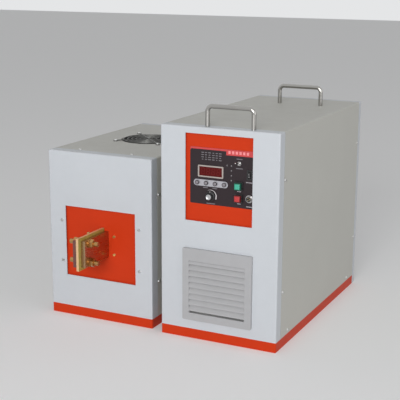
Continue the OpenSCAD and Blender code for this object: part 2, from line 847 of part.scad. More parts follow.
// Round metal socket for the foot switch
socket_flange_r = 7.5;
socket_flange_t = 1.5;
socket_reach = 5;
socket_tail = 14;
socket_wall = 1;
contact_r = 0.7;
contact_ring_r = 2.6;
contact_count = 3;
socket_core_sink = 2;
module foot_switch_socket() {
    color(steel) panel_at(side_col, socket_row, face_y - socket_reach) {
        difference() {
            union() {
                rod_y(socket_r, socket_reach + socket_tail);
                translate([0, socket_reach - socket_flange_t, 0]) rod_y(socket_flange_r, socket_flange_t);
            }
            translate([0, -overrun, 0]) rod_y(socket_r - socket_wall, socket_core_sink + overrun);
            for (i = [0 : contact_count - 1]) rotate([0, i * 360 / contact_count, 0])
                translate([contact_ring_r, -overrun, 0]) rod_y(contact_r, 2 * socket_reach);
        }
    }
}

led_proud = 1;
led_tail = 6;
module indicator_leds() {
    color([0.55, 0.52, 0.52]) placed() translate([window_x, face_y - led_proud, window_z])
        for (p = led_places) translate([p[0], 0, p[1]]) rod_y(led_r, led_proud + led_tail);
}

pcb_t = 1.6;
pcb_w = 130;
pcb_h = 92;
pcb_post_r = 3;
pcb_x = 5;
pcb_z = 36;
pcb_post_in = 5;
module control_board() {
    back_y = window_recess + plate_t;
    color([0.10, 0.35, 0.20]) placed() translate([window_x + pcb_x, back_y, window_z + pcb_z]) difference() {
        union() {
            translate([0, board_gap, 0]) cube([pcb_w, pcb_t, pcb_h]);
            for (x = [-pcb_post_in, pcb_w - pcb_post_in], z = [0, pcb_h - pcb_post_in])
                translate([x + pcb_post_in, 0, z + pcb_post_in / 2]) rod_y(pcb_post_r, board_gap);
        }
        translate([-pcb_x, -back_y, -pcb_z]) {
            translate([display_col, 0, knob_row]) rod_y(pot_body_r + overrun, back_y + 2 * board_gap);
            for (z = [start_row, stop_row])
                translate([button_col - switch_body_w, 0, z - switch_body_w])
                    cube([2 * switch_body_w, back_y + 2 * board_gap, 2 * switch_body_w]);
            translate([side_col - switch_body_w, 0, socket_row - switch_body_w])
                cube([
                    3 * switch_body_w, back_y + 2 * board_gap,
                    rocker_row - socket_row + 2 * switch_body_w
                ]);
            translate([button_col - switch_body_w / 2, 0, toggle_row - switch_body_w])
                cube([4 * switch_body_w, back_y + 2 * board_gap, 2 * switch_body_w]);
        }
    }
}

// Power unit: air intake

grille_cx = pu_w / 2;
grille_cz = grille_z + grille_w / 2;
grille_r = 3;
grille_face_t = 2;
grille_top_band = 25;
grille_low_band = 15;
grille_side_band = 14;
slat_t = 1.6;
slat_depth = 11.5;
slat_tilt = 58;
slat_lap = 1;
spigot_w = 123;
spigot_wall = 2;
spigot_depth = 12;
duct_w = spigot_w - 2 * spigot_wall;
module vent_grille() {
    slot_w_in = grille_w - 2 * grille_side_band;
    slot_h_in = grille_w - grille_top_band - grille_low_band;
    pitch = slot_h_in / slat_count;
    color([0.68, 0.68, 0.69]) placed() translate([grille_cx - grille_w / 2, -grille_proud, grille_z]) {
        difference() {
            upright(grille_proud) rounded(grille_w, grille_w, grille_r);
            translate([grille_rim, grille_face_t, grille_rim])
                cube([grille_w - 2 * grille_rim, grille_proud, grille_w - 2 * grille_rim]);
            translate([grille_side_band, -overrun, grille_low_band])
                cube([slot_w_in, grille_face_t + 2 * overrun, slot_h_in]);
        }
        intersection() {
            translate([grille_side_band - slat_lap, 0, grille_low_band - slat_lap])
                cube([slot_w_in + 2 * slat_lap, grille_proud, slot_h_in + 2 * slat_lap]);
            for (i = [0 : slat_count - 1]) translate([0, 0, grille_low_band + pitch / 2 + i * pitch])
                rotate([slat_tilt, 0, 0]) translate([0, -slat_t, -slat_t / 2])
                    cube([grille_w, slat_depth, slat_t]);
        }
        translate([(grille_w - spigot_w) / 2, 0, (grille_w - spigot_w) / 2]) difference() {
            translate([0, grille_face_t, 0])
                cube([spigot_w, grille_proud - grille_face_t + spigot_depth, spigot_w]);
            translate([spigot_wall, 0, spigot_wall])
                cube([duct_w, grille_proud + spigot_depth + overrun, duct_w]);
        }
    }
}
grille_rim = 3;

mat_t = 8;
module filter_mat() {
    mat_w = duct_w - 2 * slip_gap;
    color([0.85, 0.85, 0.82]) placed()
        translate([grille_cx - mat_w / 2, spigot_depth - mat_t, grille_cz - mat_w / 2])
            cube([mat_w, mat_t, mat_w]);
}

module intake_fan_frame() {
    color(black_plastic) placed()
        translate([grille_cx - fan_w / 2, spigot_depth + fan_t, grille_cz - fan_w / 2])
            rotate([90, 0, 0]) fan_frame_body(fan_w, fan_t, fan_pitch);
}

module intake_fan_rotor() {
    color(black_plastic) placed() translate([grille_cx, spigot_depth + fan_t, grille_cz])
        rotate([90, 0, 0]) fan_rotor_body(fan_w, fan_t);
}

// Power unit: inside

sink_w = 130;
sink_x = (pu_w - sink_w) / 2;
sink_front_share = 0.26;
sink_y = pu_d * sink_front_share;
choke_rear_share = 0.24;
choke_y = pu_d - pu_d * choke_rear_share;
sink_choke_gap = 30;
sink_d = choke_y - sink_choke_gap - sink_y;
sink_plate_t = 10;
fin_h = 40;
fin_t = 3;
fin_count = 11;
module heatsink() {
    color([0.75, 0.76, 0.78]) placed() translate([sink_x, sink_y, sheet]) {
        translate([0, 0, fin_h]) cube([sink_w, sink_d, sink_plate_t]);
        for (i = [0 : fin_count - 1]) translate([i * (sink_w - fin_t) / (fin_count - 1), 0, 0])
            cube([fin_t, sink_d, fin_h]);
    }
}

igbt_w = 94;
igbt_h = 30;
igbt_count = 3;
igbt_gap = 25;
igbt_pitch = sink_d / igbt_count;
igbt_d = igbt_pitch - igbt_gap;
igbt_post_r = 5;
igbt_post_h = 3;
module igbt_modules() {
    plate_top = sheet + fin_h + sink_plate_t;
    color([0.12, 0.12, 0.13]) placed()
        for (i = [0 : igbt_count - 1])
            translate([(pu_w - igbt_w) / 2, sink_y + igbt_gap / 2 + i * igbt_pitch, plate_top]) {
                cube([igbt_w, igbt_d, igbt_h]);
                for (j = [0 : 2]) translate([(j + 1) * igbt_w / 4, igbt_d / 2, igbt_h])
                    cylinder(r = igbt_post_r, h = igbt_post_h, $fn = coarse);
            }
}

can_r = 32;
can_h = 110;
can_post_r = 5;
can_post_h = 5;
can_gap = 10;
module bus_capacitors() {
    color([0.30, 0.42, 0.62]) placed() for (ix = [-1, 1], iy = [0, 1])
        translate([
            pu_w / 2 + ix * (can_r + can_gap / 2),
            shelf_y + can_y + iy * (2 * can_r + can_gap),
            shelf_z + frame_t
        ]) {
            cylinder(r = can_r, h = can_h, $fn = fine);
            for (s = [-1, 1]) translate([s * can_r / 2, 0, can_h])
                cylinder(r = can_post_r, h = can_post_h, $fn = coarse);
        }
}
can_y = 60;

choke_w = 110;
choke_d = 60;
choke_h = 100;
choke_leg = 22;
choke_swell = 12;
module power_choke() {
    color([0.45, 0.25, 0.15]) placed() translate([(pu_w - choke_w) / 2, choke_y, sheet]) {
        difference() {
            cube([choke_w, choke_d, choke_h]);
            for (s = [0, 1]) translate([choke_leg + s * (choke_w / 2 - choke_leg / 2), -overrun, choke_leg])
                cube([(choke_w - 3 * choke_leg) / 2, choke_d + 2 * overrun, choke_h - 2 * choke_leg]);
        }
        translate([choke_leg, -choke_swell, choke_leg])
            cube([choke_w - 2 * choke_leg, choke_d + 2 * choke_swell, choke_h - 2 * choke_leg]);
    }
}

// Power unit: rear fittings

gland_hex = 27;
gland_hex_t = 9;
gland_dome_t = 10;
gland_tail = 12;
module cable_gland() {
    g = rear_at(gland_share, pu_w, pu_h);
    color(black_plastic) placed() translate([g[0], pu_d, g[1]]) difference() {
        union() {
            translate([0, -gland_tail, 0]) rod_y(gland_thread_r, gland_tail + gland_hex_t);
            rotate([-90, 0, 0]) hexagon(gland_hex, gland_hex_t);
            translate([0, gland_hex_t, 0]) rotate([-90, 0, 0])
                cylinder(r1 = gland_hex / 2, r2 = gland_thread_r, h = gland_dome_t, $fn = fine);
            translate([0, -sheet - gland_nut_t, 0]) rotate([-90, 0, 0])
                hexagon(gland_hex, gland_nut_t);
        }
        translate([0, -gland_tail - overrun, 0])
            rod_y(gland_bore / 2, gland_tail + gland_hex_t + gland_dome_t + 2 * overrun);
    }
}
gland_nut_t = 5;

module water_nipples() {
    color(brass) placed() for (s = nipple_shares) {
        p = rear_at(s, pu_w, pu_h);
        translate([p[0], pu_d, p[1]]) nipple();
    }
}

stud_reach = 30;
stud_tail = 20;
stud_nut_af = 13;
stud_nut_t = 6;
stud_bush_r = 9;
stud_bush_t = 8;

// Brass stud along +Y from a rear sheet at y = 0, with its bush and nut
module terminal_stud() {
    translate([0, -stud_tail, 0]) rod_y(stud_d / 2, stud_tail + stud_reach);
    rod_y(stud_bush_r, stud_bush_t);
    translate([0, -sheet - stud_bush_t, 0]) rod_y(stud_bush_r, stud_bush_t);
    translate([0, -sheet - stud_bush_t / 2, 0]) rod_y(stud_neck_r, sheet + stud_bush_t);
    translate([0, stud_bush_t, 0]) rotate([-90, 0, 0]) hexagon(stud_nut_af, stud_nut_t);
}

module output_terminals() {
    color(brass) placed() for (s = output_shares) {
        p = rear_at(s, pu_w, pu_h);
        translate([p[0], pu_d, p[1]]) terminal_stud();
    }
}

// Transformer unit: cabinet

tu_rear_inner_y = tu_d - rear_flange - seam;
tu_side_high_z = 278;
tu_side_low_z = 95;
tu_side_screws = [
    [side_screw_y, tu_side_high_z], [side_screw_y, tu_side_low_z],
    [tu_rear_inner_y - edge_in, tu_side_high_z],
    [tu_rear_inner_y - edge_in, tu_side_low_z]
];
tu_front_in = 29.5;
tu_front_high_z = 206.5;
tu_front_low_z = 119;
tu_front_screws = [for (x = [tu_front_in, tu_w - tu_front_in], z = [tu_front_high_z, tu_front_low_z]) [x, z]];
tu_top_in = 60;
tu_top_screws = [for (x = [tu_top_in, tu_w - tu_top_in]) [x, side_screw_y]];

module transformer_base_tray() {
    color(orange_paint) tu_placed() cabinet_slice(tu_w, tu_d, tu_h, 0, tu_rear_inner_y, 0, tray_h);
}

module transformer_front_panel() {
    color(white_paint) tu_placed() difference() {
        union() {
            cabinet_slice(tu_w, tu_d, tu_h, 0, front_flange, tray_h, tu_h);
            tu_lips();
        }
        translate([port_x, -overrun, port_z]) cube([port_w, sheet + 2 * overrun, port_h]);
        for (p = tu_front_screws) translate([p[0], -overrun, p[1]])
            rod_y(screw_r + slip_gap, sheet + 2 * overrun);
        tu_screw_holes();
    }
}

// Lips of the front and rear pans that pass inside the cover and take its screws
lip_reach = 14;
module tu_lips() {
    for (right = [0, 1]) translate([right ? tu_w : 0, 0, 0]) mirror([right, 0, 0])
        translate([sheet, sheet, tray_h + sheet])
            cube([sheet, front_flange + lip_reach - sheet, tu_h - tray_h - 2 * sheet]);
    translate([sheet, sheet, tu_h - 2 * sheet])
        cube([tu_w - 2 * sheet, front_flange + lip_reach - sheet, sheet]);
}

module tu_rear_lips() {
    y0 = tu_d - rear_flange - lip_reach;
    for (right = [0, 1]) translate([right ? tu_w : 0, 0, 0]) mirror([right, 0, 0])
        translate([sheet, y0, tray_h + sheet])
            cube([sheet, rear_flange + lip_reach - sheet, tu_h - tray_h - 3 * sheet]);
}

module tu_screw_holes() {
    for (p = tu_side_screws) side_screw_pair(tu_w, p, screw_r + running_gap, screw_l);
    for (p = tu_top_screws) translate([p[0], p[1], tu_h - screw_l])
        cylinder(r = screw_r + running_gap, h = 2 * screw_l, $fn = coarse);
}

tu_fan_shift = 2.5;
tu_fan_x = tu_w / 2 + tu_fan_shift;
tu_fan_y = 204;
guard_corners = [
    for (sx = [-1, 1], sy = [-1, 1]) [tu_fan_x + sx * guard_pitch / 2, tu_fan_y + sy * guard_pitch / 2]
];

module transformer_cover() {
    color(grey_paint) tu_placed() difference() {
        cabinet_slice(tu_w, tu_d, tu_h, cover_y, tu_rear_inner_y, tray_h, tu_h);
        translate([tu_fan_x, tu_fan_y, tu_h - sheet - overrun])
            cylinder(r = top_hole_d / 2, h = sheet + 2 * overrun, $fn = fine);
        for (p = guard_corners) translate([p[0], p[1], tu_h - sheet - overrun])
            cylinder(r = screw_r + slip_gap, h = sheet + 2 * overrun, $fn = coarse);
        tu_screw_holes();
    }
}

tu_nipple_shares = [[0.30, 0.30], [0.70, 0.30]];
tu_input_shares = [[0.35, 0.60], [0.65, 0.60]];
module transformer_rear_panel() {
    color(white_paint) tu_placed() difference() {
        union() {
            cabinet_slice(tu_w, tu_d, tu_h, tu_d - rear_flange, tu_d, 0, tu_h);
            tu_rear_lips();
        }
        translate([0, tu_d - sheet - overrun, 0]) {
            for (s = tu_nipple_shares) {
                p = rear_at(s, tu_w, tu_h);
                translate([p[0], 0, p[1]]) rod_y(nipple_thread_r + slip_gap, sheet + 2 * overrun);
            }
            for (s = tu_input_shares) {
                p = rear_at(s, tu_w, tu_h);
                translate([p[0], 0, p[1]]) rod_y(stud_neck_r + slip_gap, sheet + 2 * overrun);
            }
        }
        tu_screw_holes();
    }
}

module transformer_screws() {
    color(steel) tu_placed() {
        for (p = tu_side_screws) {
            translate([tu_w, p[0], p[1]]) rotate([0, 90, 0]) panel_screw();
            translate([0, p[0], p[1]]) rotate([0, -90, 0]) panel_screw();
        }
        for (p = tu_top_screws) translate([p[0], p[1], tu_h]) panel_screw();
        for (p = guard_corners) translate([p[0], p[1], tu_h + wire_d])
            panel_screw();
        for (p = tu_front_screws) translate([p[0], 0, p[1]]) rotate([90, 0, 0])
            panel_screw();
    }
}

// Transformer unit: coil terminals

board_shift = 4.75;
copper_left_more = 5;
board_x = (tu_w - board_t) / 2 + board_shift;
board_z = 133;
copper_z = board_z + (board_h - copper_h) / 2;
bolt_low_z = copper_z + (copper_h - bolt_pitch) / 2;
port_rim = 17;
stack_w = board_t + 2 * copper_t;
stack_x = board_x - copper_t;
turn_y = 44;
bolt_zs = [bolt_low_z, bolt_low_z + bolt_pitch];
brass_screw_out = 31;
brass_screw_drop = 2;
brass_screw_zs = [for (z = bolt_zs) z - brass_screw_drop];
brass_screw_xs = [tu_w / 2 - brass_screw_out, tu_w / 2 + brass_screw_out];
brass_screws_xz = [for (x = brass_screw_xs, z = brass_screw_zs) [x, z]];

module insulating_panel() {
    color(orange_paint) tu_placed() difference() {
        translate([port_x, 0, port_z])
            recessed_plate(port_w, port_h, window_recess, port_plate_t, port_rim);
        translate([board_x - slip_gap, window_recess - overrun, board_z - slip_gap])
            cube([board_t + 2 * slip_gap, port_plate_t + 2 * overrun, board_h + 2 * slip_gap]);
        translate([stack_x - slip_gap, window_recess - overrun, copper_z - slip_gap])
            cube([stack_w + 2 * slip_gap, port_plate_t + 2 * overrun, copper_h + 2 * slip_gap]);
        for (p = brass_screws_xz) translate([p[0], window_recess - overrun, p[1]])
            rod_y(screw_r + running_gap, port_plate_t + 2 * overrun);
        for (p = tu_front_screws) translate([p[0], sheet - overrun, p[1]])
            rod_y(screw_r + slip_gap, window_recess + port_plate_t);
    }
}

module terminal_plate(x, reach) {
    tu_placed() difference() {
        translate([x, -reach, copper_z]) cube([copper_t, reach + turn_y, copper_h]);
        for (z = bolt_zs) translate([x - overrun, -bolt_reach, z])
            rod_x(bolt_d / 2 + slip_gap, copper_t + 2 * overrun);
    }
}

module terminal_plate_left() {
    color(copper) terminal_plate(stack_x, copper_reach + copper_left_more);
}

module terminal_plate_right() {
    color(copper) terminal_plate(board_x + board_t, copper_reach);
}

module insulator_board() {
    color([0.62, 0.58, 0.30]) tu_placed() difference() {
        translate([board_x, -board_reach, board_z]) cube([board_t, board_reach + turn_y + turn_t, board_h]);
        for (z = bolt_zs) translate([board_x - overrun, -bolt_reach, z])
            rod_x(bolt_d / 2 + slip_gap, board_t + 2 * overrun);
    }
}

clamp_nut_af = 16;
clamp_nut_t = 8.4;
washer_r = 9.5;
washer_t = 2;
module clamp_bolts() {
    color(brass) tu_placed() for (z = bolt_zs) translate([board_x + board_t / 2, -bolt_reach, z]) {
        translate([-bolt_l / 2, 0, 0]) rod_x(bolt_d / 2, bolt_l);
        for (s = [0, 1]) mirror([s, 0, 0]) translate([stack_w / 2, 0, 0]) {
            rod_x(washer_r, washer_t);
            translate([washer_t, 0, 0]) rotate([0, 90, 0]) hexagon(clamp_nut_af, clamp_nut_t);
        }
    }
}

module panel_screws() {
    color(brass) tu_placed() for (p = brass_screws_xz)
        translate([p[0], window_recess, p[1]]) rotate([90, 0, 0]) panel_screw();
}

// Transformer unit: top fan

module top_fan_frame() {
    color(black_plastic) tu_placed()
        translate([tu_fan_x - top_fan_w / 2, tu_fan_y + top_fan_w / 2, tu_h - sheet]) rotate([180, 0, 0])
            fan_frame_body(top_fan_w, fan_t, guard_pitch);
}

module top_fan_rotor() {
    color(black_plastic) tu_placed() translate([tu_fan_x, tu_fan_y, tu_h - sheet]) rotate([180, 0, 0])
        fan_rotor_body(top_fan_w, fan_t);
}

// Finger guard: rings of wire on two crossed arms, with a flat eye at each corner
ring_first_r = 10;
ring_last_r = 54.5;
eye_r = 5;
module finger_guard() {
    ring_z = tu_h + wire_d / 2;
    color(steel) tu_placed() {
        translate([tu_fan_x, tu_fan_y, ring_z]) {
            for (i = [0 : ring_count - 1])
                rotate_extrude($fn = fine)
                    translate([ring_first_r + i * (ring_last_r - ring_first_r) / (ring_count - 1), 0])
                        circle(r = wire_d / 2, $fn = coarse);
            for (a = [45, 135]) rotate([0, 0, a])
                translate([-arm_half, -wire_d / 2, wire_d * arm_lift_share - wire_d / 2])
                    cube([2 * arm_half, wire_d, wire_d]);
        }
        for (p = guard_corners) translate([p[0], p[1], tu_h])
            difference() {
                cylinder(r = eye_r, h = wire_d, $fn = fine);
                translate([0, 0, -overrun])
                    cylinder(r = screw_r + slip_gap, h = wire_d + 2 * overrun, $fn = coarse);
            }
    }
}
arm_lift_share = 0.35;
arm_half = guard_pitch / sqrt(2) - screw_head_r - slip_gap;

// Transformer unit: inside

core_t = 40;
core_leg = 40;
core_d = 180;
core_h = 240;
turn_t = 12;
turn_gap = 5;
core_y = turn_y + turn_t + turn_gap;
module ferrite_core() {
    color([0.20, 0.20, 0.21]) tu_placed()
        translate([board_x + board_t / 2 - core_t / 2, core_y, sheet]) difference() {
            cube([core_t, core_d, core_h]);
            translate([-overrun, core_leg, core_leg])
                cube([core_t + 2 * overrun, core_d - 2 * core_leg, core_h - 2 * core_leg]);
        }
}

module secondary_turn() {
    hole_w = core_t + 2 * turn_gap;
    hole_d = core_leg + 2 * turn_gap;
    color(copper) tu_placed()
        translate([board_x + board_t / 2 - hole_w / 2 - turn_t, turn_y, copper_z]) difference() {
            cube([hole_w + 2 * turn_t, hole_d + 2 * turn_t, copper_h]);
            translate([turn_t, turn_t, -overrun]) cube([hole_w, hole_d, copper_h + 2 * overrun]);
            translate([turn_t + hole_w / 2 - board_t / 2, -overrun, -overrun])
                cube([board_t, turn_t + 2 * overrun, copper_h + 2 * overrun]);
        }
}

coil_wall = 14;
coil_h = 110;
module primary_coil() {
    coil_x = board_x + board_t / 2 - core_t / 2 - coil_wall;
    coil_y = core_y + core_d - core_leg - coil_wall;
    coil_z = sheet + (core_h - coil_h) / 2;
    color([0.55, 0.20, 0.10]) tu_placed() translate([coil_x, coil_y, coil_z]) difference() {
        cube([core_t + 2 * coil_wall, core_leg + 2 * coil_wall, coil_h]);
        translate([coil_wall, coil_wall, -overrun]) cube([core_t, core_leg, coil_h + 2 * overrun]);
    }
}

tank_d = 120;
tank_h = 90;
tank_side_gap = 12;
tank_coil_gap = 21;
tank_w = tu_w / 2 - board_shift - core_t / 2 - coil_wall - sheet - tank_side_gap - tank_coil_gap;
tank_stud_r = 4;
tank_stud_h = 8;
module tank_capacitors() {
    color([0.70, 0.71, 0.72]) tu_placed()
        for (x = [sheet + tank_side_gap, tu_w - sheet - tank_side_gap - tank_w])
            translate([x, tu_fan_y - tank_d / 2, sheet]) {
                cube([tank_w, tank_d, tank_h]);
                for (y = [tank_d / 4, 3 * tank_d / 4]) translate([tank_w / 2, y, tank_h])
                    cylinder(r = tank_stud_r, h = tank_stud_h, $fn = coarse);
            }
}

// Transformer unit: rear fittings

module transformer_nipples() {
    color(brass) tu_placed() for (s = tu_nipple_shares) {
        p = rear_at(s, tu_w, tu_h);
        translate([p[0], tu_d, p[1]]) nipple();
    }
}

module transformer_inputs() {
    color(brass) tu_placed() for (s = tu_input_shares) {
        p = rear_at(s, tu_w, tu_h);
        translate([p[0], tu_d, p[1]]) terminal_stud();
    }
}

base_tray();
chassis_frame();
front_panel();
cover();
rear_panel();
cabinet_screws();
handles();
handle_screws();
control_plate();
panel_overlay();
display_bezel();
display_window();
key_strip();
key_1();
key_2();
key_3();
key_4();
power_knob();
potentiometer();
toggle_body();
toggle_lever();
button_housings();
start_button();
stop_button();
rocker_housing();
rocker();
foot_switch_socket();
indicator_leds();
vent_grille();
filter_mat();
intake_fan_frame();
intake_fan_rotor();
control_board();
heatsink();
igbt_modules();
bus_capacitors();
power_choke();
cable_gland();
water_nipples();
output_terminals();
transformer_base_tray();
transformer_front_panel();
transformer_cover();
transformer_rear_panel();
transformer_screws();
insulating_panel();
terminal_plate_left();
terminal_plate_right();
insulator_board();
clamp_bolts();
panel_screws();
top_fan_frame();
top_fan_rotor();
finger_guard();
ferrite_core();
primary_coil();
secondary_turn();
tank_capacitors();
transformer_nipples();
transformer_inputs();
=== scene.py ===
"""Visual model of an induction heating machine: a power unit and a transformer unit."""

from __future__ import annotations

import logging
import math
from collections.abc import Callable, Iterable, Sequence
from dataclasses import dataclass, field
from enum import Enum

import bmesh
import bpy
from mathutils import Matrix, Vector

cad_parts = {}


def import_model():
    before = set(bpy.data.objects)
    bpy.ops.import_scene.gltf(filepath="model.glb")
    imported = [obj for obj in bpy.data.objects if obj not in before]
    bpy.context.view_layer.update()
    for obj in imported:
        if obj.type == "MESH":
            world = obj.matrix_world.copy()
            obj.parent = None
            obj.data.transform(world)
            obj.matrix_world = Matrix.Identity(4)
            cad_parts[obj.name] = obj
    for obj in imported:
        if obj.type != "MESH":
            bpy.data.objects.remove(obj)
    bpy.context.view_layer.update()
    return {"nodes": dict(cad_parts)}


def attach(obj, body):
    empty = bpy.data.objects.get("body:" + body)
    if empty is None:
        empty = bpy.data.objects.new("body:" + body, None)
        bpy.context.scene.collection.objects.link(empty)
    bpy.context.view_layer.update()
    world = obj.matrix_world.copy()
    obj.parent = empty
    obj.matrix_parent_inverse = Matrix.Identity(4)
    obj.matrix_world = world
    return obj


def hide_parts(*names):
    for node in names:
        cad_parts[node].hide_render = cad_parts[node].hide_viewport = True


LOG = logging.getLogger("induction_heater")
MM = 0.001
FULL_TURN = 2 * math.pi
POWER_ORIGIN = Vector((10.5, -227.5, 0.0))
PANEL_FACE = 4.5
SHARP_FROM = math.radians(35.0)
ARC_DEGREES = 5
ARC_LEAST_STEPS = 8

Colour = tuple[float, float, float]
Point = tuple[float, float, float]


class Body(str, Enum):
    """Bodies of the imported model."""

    POWER = "power_unit"
    KNOB = "knob"
    START = "start"
    STOP = "stop"
    ROCKER = "rocker_paddle"
    KEY_A = "key_a"
    KEY_B = "key_b"
    KEY_C = "key_c"
    KEY_D = "key_d"


def power(x: float, y: float, z: float) -> Vector:
    """Row place in metres of a point in the power unit's millimetres."""
    return (Vector((x, y, z)) + POWER_ORIGIN) * MM


def panel_box(
    place: tuple[float, float], width: float, height: float, depths: tuple[float, float]
) -> tuple[Vector, Vector]:
    """Corners of a box centred on a place of the power unit's front.

    Args:
        place: x and z of its middle, in millimetres.
        width: its size across.
        height: its size upwards.
        depths: its front and its back, along Y.

    Returns:
        Its lowest and highest corner, as row places in metres.
    """
    (x, z), (front, back) = place, depths
    return power(x - width / 2, front, z - height / 2), power(x + width / 2, back, z + height / 2)


def linear(value: float) -> float:
    """Linear light of one sRGB channel from 0 to 1."""
    return value / 12.92 if value <= 0.04045 else ((value + 0.055) / 1.055) ** 2.4


def tint(red: int, green: int, blue: int) -> Colour:
    """Linear colour of an sRGB colour of 0 to 255.

    Args:
        red: red channel.
        green: green channel.
        blue: blue channel.

    Returns:
        The colour in linear light.
    """
    return linear(red / 255), linear(green / 255), linear(blue / 255)


class NodeSheet:
    """A node tree with short calls for adding and joining nodes."""

    def __init__(self, tree: bpy.types.NodeTree) -> None:
        """Start from an empty tree.

        Args:
            tree: the tree of a material, world or group.
        """
        self.tree = tree
        tree.nodes.clear()

    def add(self, kind: str, **settings: object) -> bpy.types.Node:
        """Add a node.

        Args:
            kind: the node's type name without its ShaderNode or Node prefix.
            settings: attributes of the node.

        Returns:
            The new node.
        """
        prefix = "Node" if kind.startswith("Group") and kind != "Group" else "ShaderNode"
        node = self.tree.nodes.new(prefix + kind)
        for key, value in settings.items():
            setattr(node, key, value)
        return node

    def join(self, source: bpy.types.NodeSocket, target: bpy.types.NodeSocket) -> None:
        """Link an output to an input."""
        self.tree.links.new(source, target)

    def feed(self, node: bpy.types.Node, **inputs: object) -> bpy.types.Node:
        """Give a node's inputs a value or a link by name, with _ for a space.

        Args:
            node: the node.
            inputs: socket name to a number, a tuple or an output socket.

        Returns:
            The same node.
        """
        for key, value in inputs.items():
            socket = node.inputs[key.replace("_", " ")]
            if isinstance(value, bpy.types.NodeSocket):
                self.join(value, socket)
            else:
                socket.default_value = value
        return node

    def noise(self, vector: bpy.types.NodeSocket, scale: object, detail: float) -> bpy.types.NodeSocket:
        """Noise value from 0 to 1.

        Args:
            vector: the coordinates.
            scale: cycles per metre, or their socket.
            detail: octaves.

        Returns:
            The noise node's value output.
        """
        return self.feed(self.add("TexNoise"), Vector=vector, Scale=scale, Detail=detail).outputs["Fac"]

    def math(
        self, operation: str, first: object, second: object = 0.0, clamp: bool = False
    ) -> bpy.types.NodeSocket:
        """Value of a Math node over two numbers or sockets.

        Args:
            operation: the node's operation.
            first: first value.
            second: second value.
            clamp: keep the result from 0 to 1.

        Returns:
            The result's socket.
        """
        node = self.add("Math", operation=operation, use_clamp=clamp)
        for i, value in enumerate((first, second)):
            if isinstance(value, bpy.types.NodeSocket):
                self.join(value, node.inputs[i])
            else:
                node.inputs[i].default_value = value
        return node.outputs[0]

    def ramp(self, value: bpy.types.NodeSocket, low: float, high: float) -> bpy.types.NodeSocket:
        """Map a value so that low gives 0 and high gives 1, clamped.

        Args:
            value: the value's socket.
            low: what gives 0.
            high: what gives 1.

        Returns:
            The result's socket.
        """
        return self.feed(self.add("MapRange"), Value=value, From_Min=low, From_Max=high).outputs["Result"]

    def blend(self, share: object, first: object, second: object, mode: str = "MIX") -> bpy.types.NodeSocket:
        """Mix two colours.

        Args:
            share: share of the second colour.
            first: first colour or socket.
            second: second colour or socket.
            mode: blend mode.

        Returns:
            The mixed colour's socket.
        """
        node = self.add("Mix", data_type="RGBA", blend_type=mode)
        for i, value in ((0, share), (6, first), (7, second)):
            if isinstance(value, bpy.types.NodeSocket):
                self.join(value, node.inputs[i])
            elif i:
                node.inputs[i].default_value = (*value[:3], 1.0)
            else:
                node.inputs[i].default_value = value
        return node.outputs[2]


SocketSpec = tuple[str, str, object]


def new_group(
    name: str, inputs: Sequence[SocketSpec], outputs: Sequence[tuple[str, str]]
) -> tuple[NodeSheet, bpy.types.NodeOutputs, bpy.types.Node]:
    """Make an empty shader node group with its sockets.

    Args:
        name: the group's name.
        inputs: name, kind (Float, Color or Vector) and default of each input.
        outputs: name and kind of each output.

    Returns:
        The group's sheet, the sockets that give its inputs, and its output node.
    """
    tree = bpy.data.node_groups.new(name, "ShaderNodeTree")
    for label, kind, default in inputs:
        socket = tree.interface.new_socket(label, in_out="INPUT", socket_type="NodeSocket" + kind)
        socket.default_value = default
    for label, kind in outputs:
        tree.interface.new_socket(label, in_out="OUTPUT", socket_type="NodeSocket" + kind)
    sheet = NodeSheet(tree)
    return sheet, sheet.add("GroupInput").outputs, sheet.add("GroupOutput")


WHITE = (1.0, 1.0, 1.0, 1.0)
SKIN_OUTPUTS = (("Colour", "Color"), ("Roughness", "Float"), ("Height", "Float"))


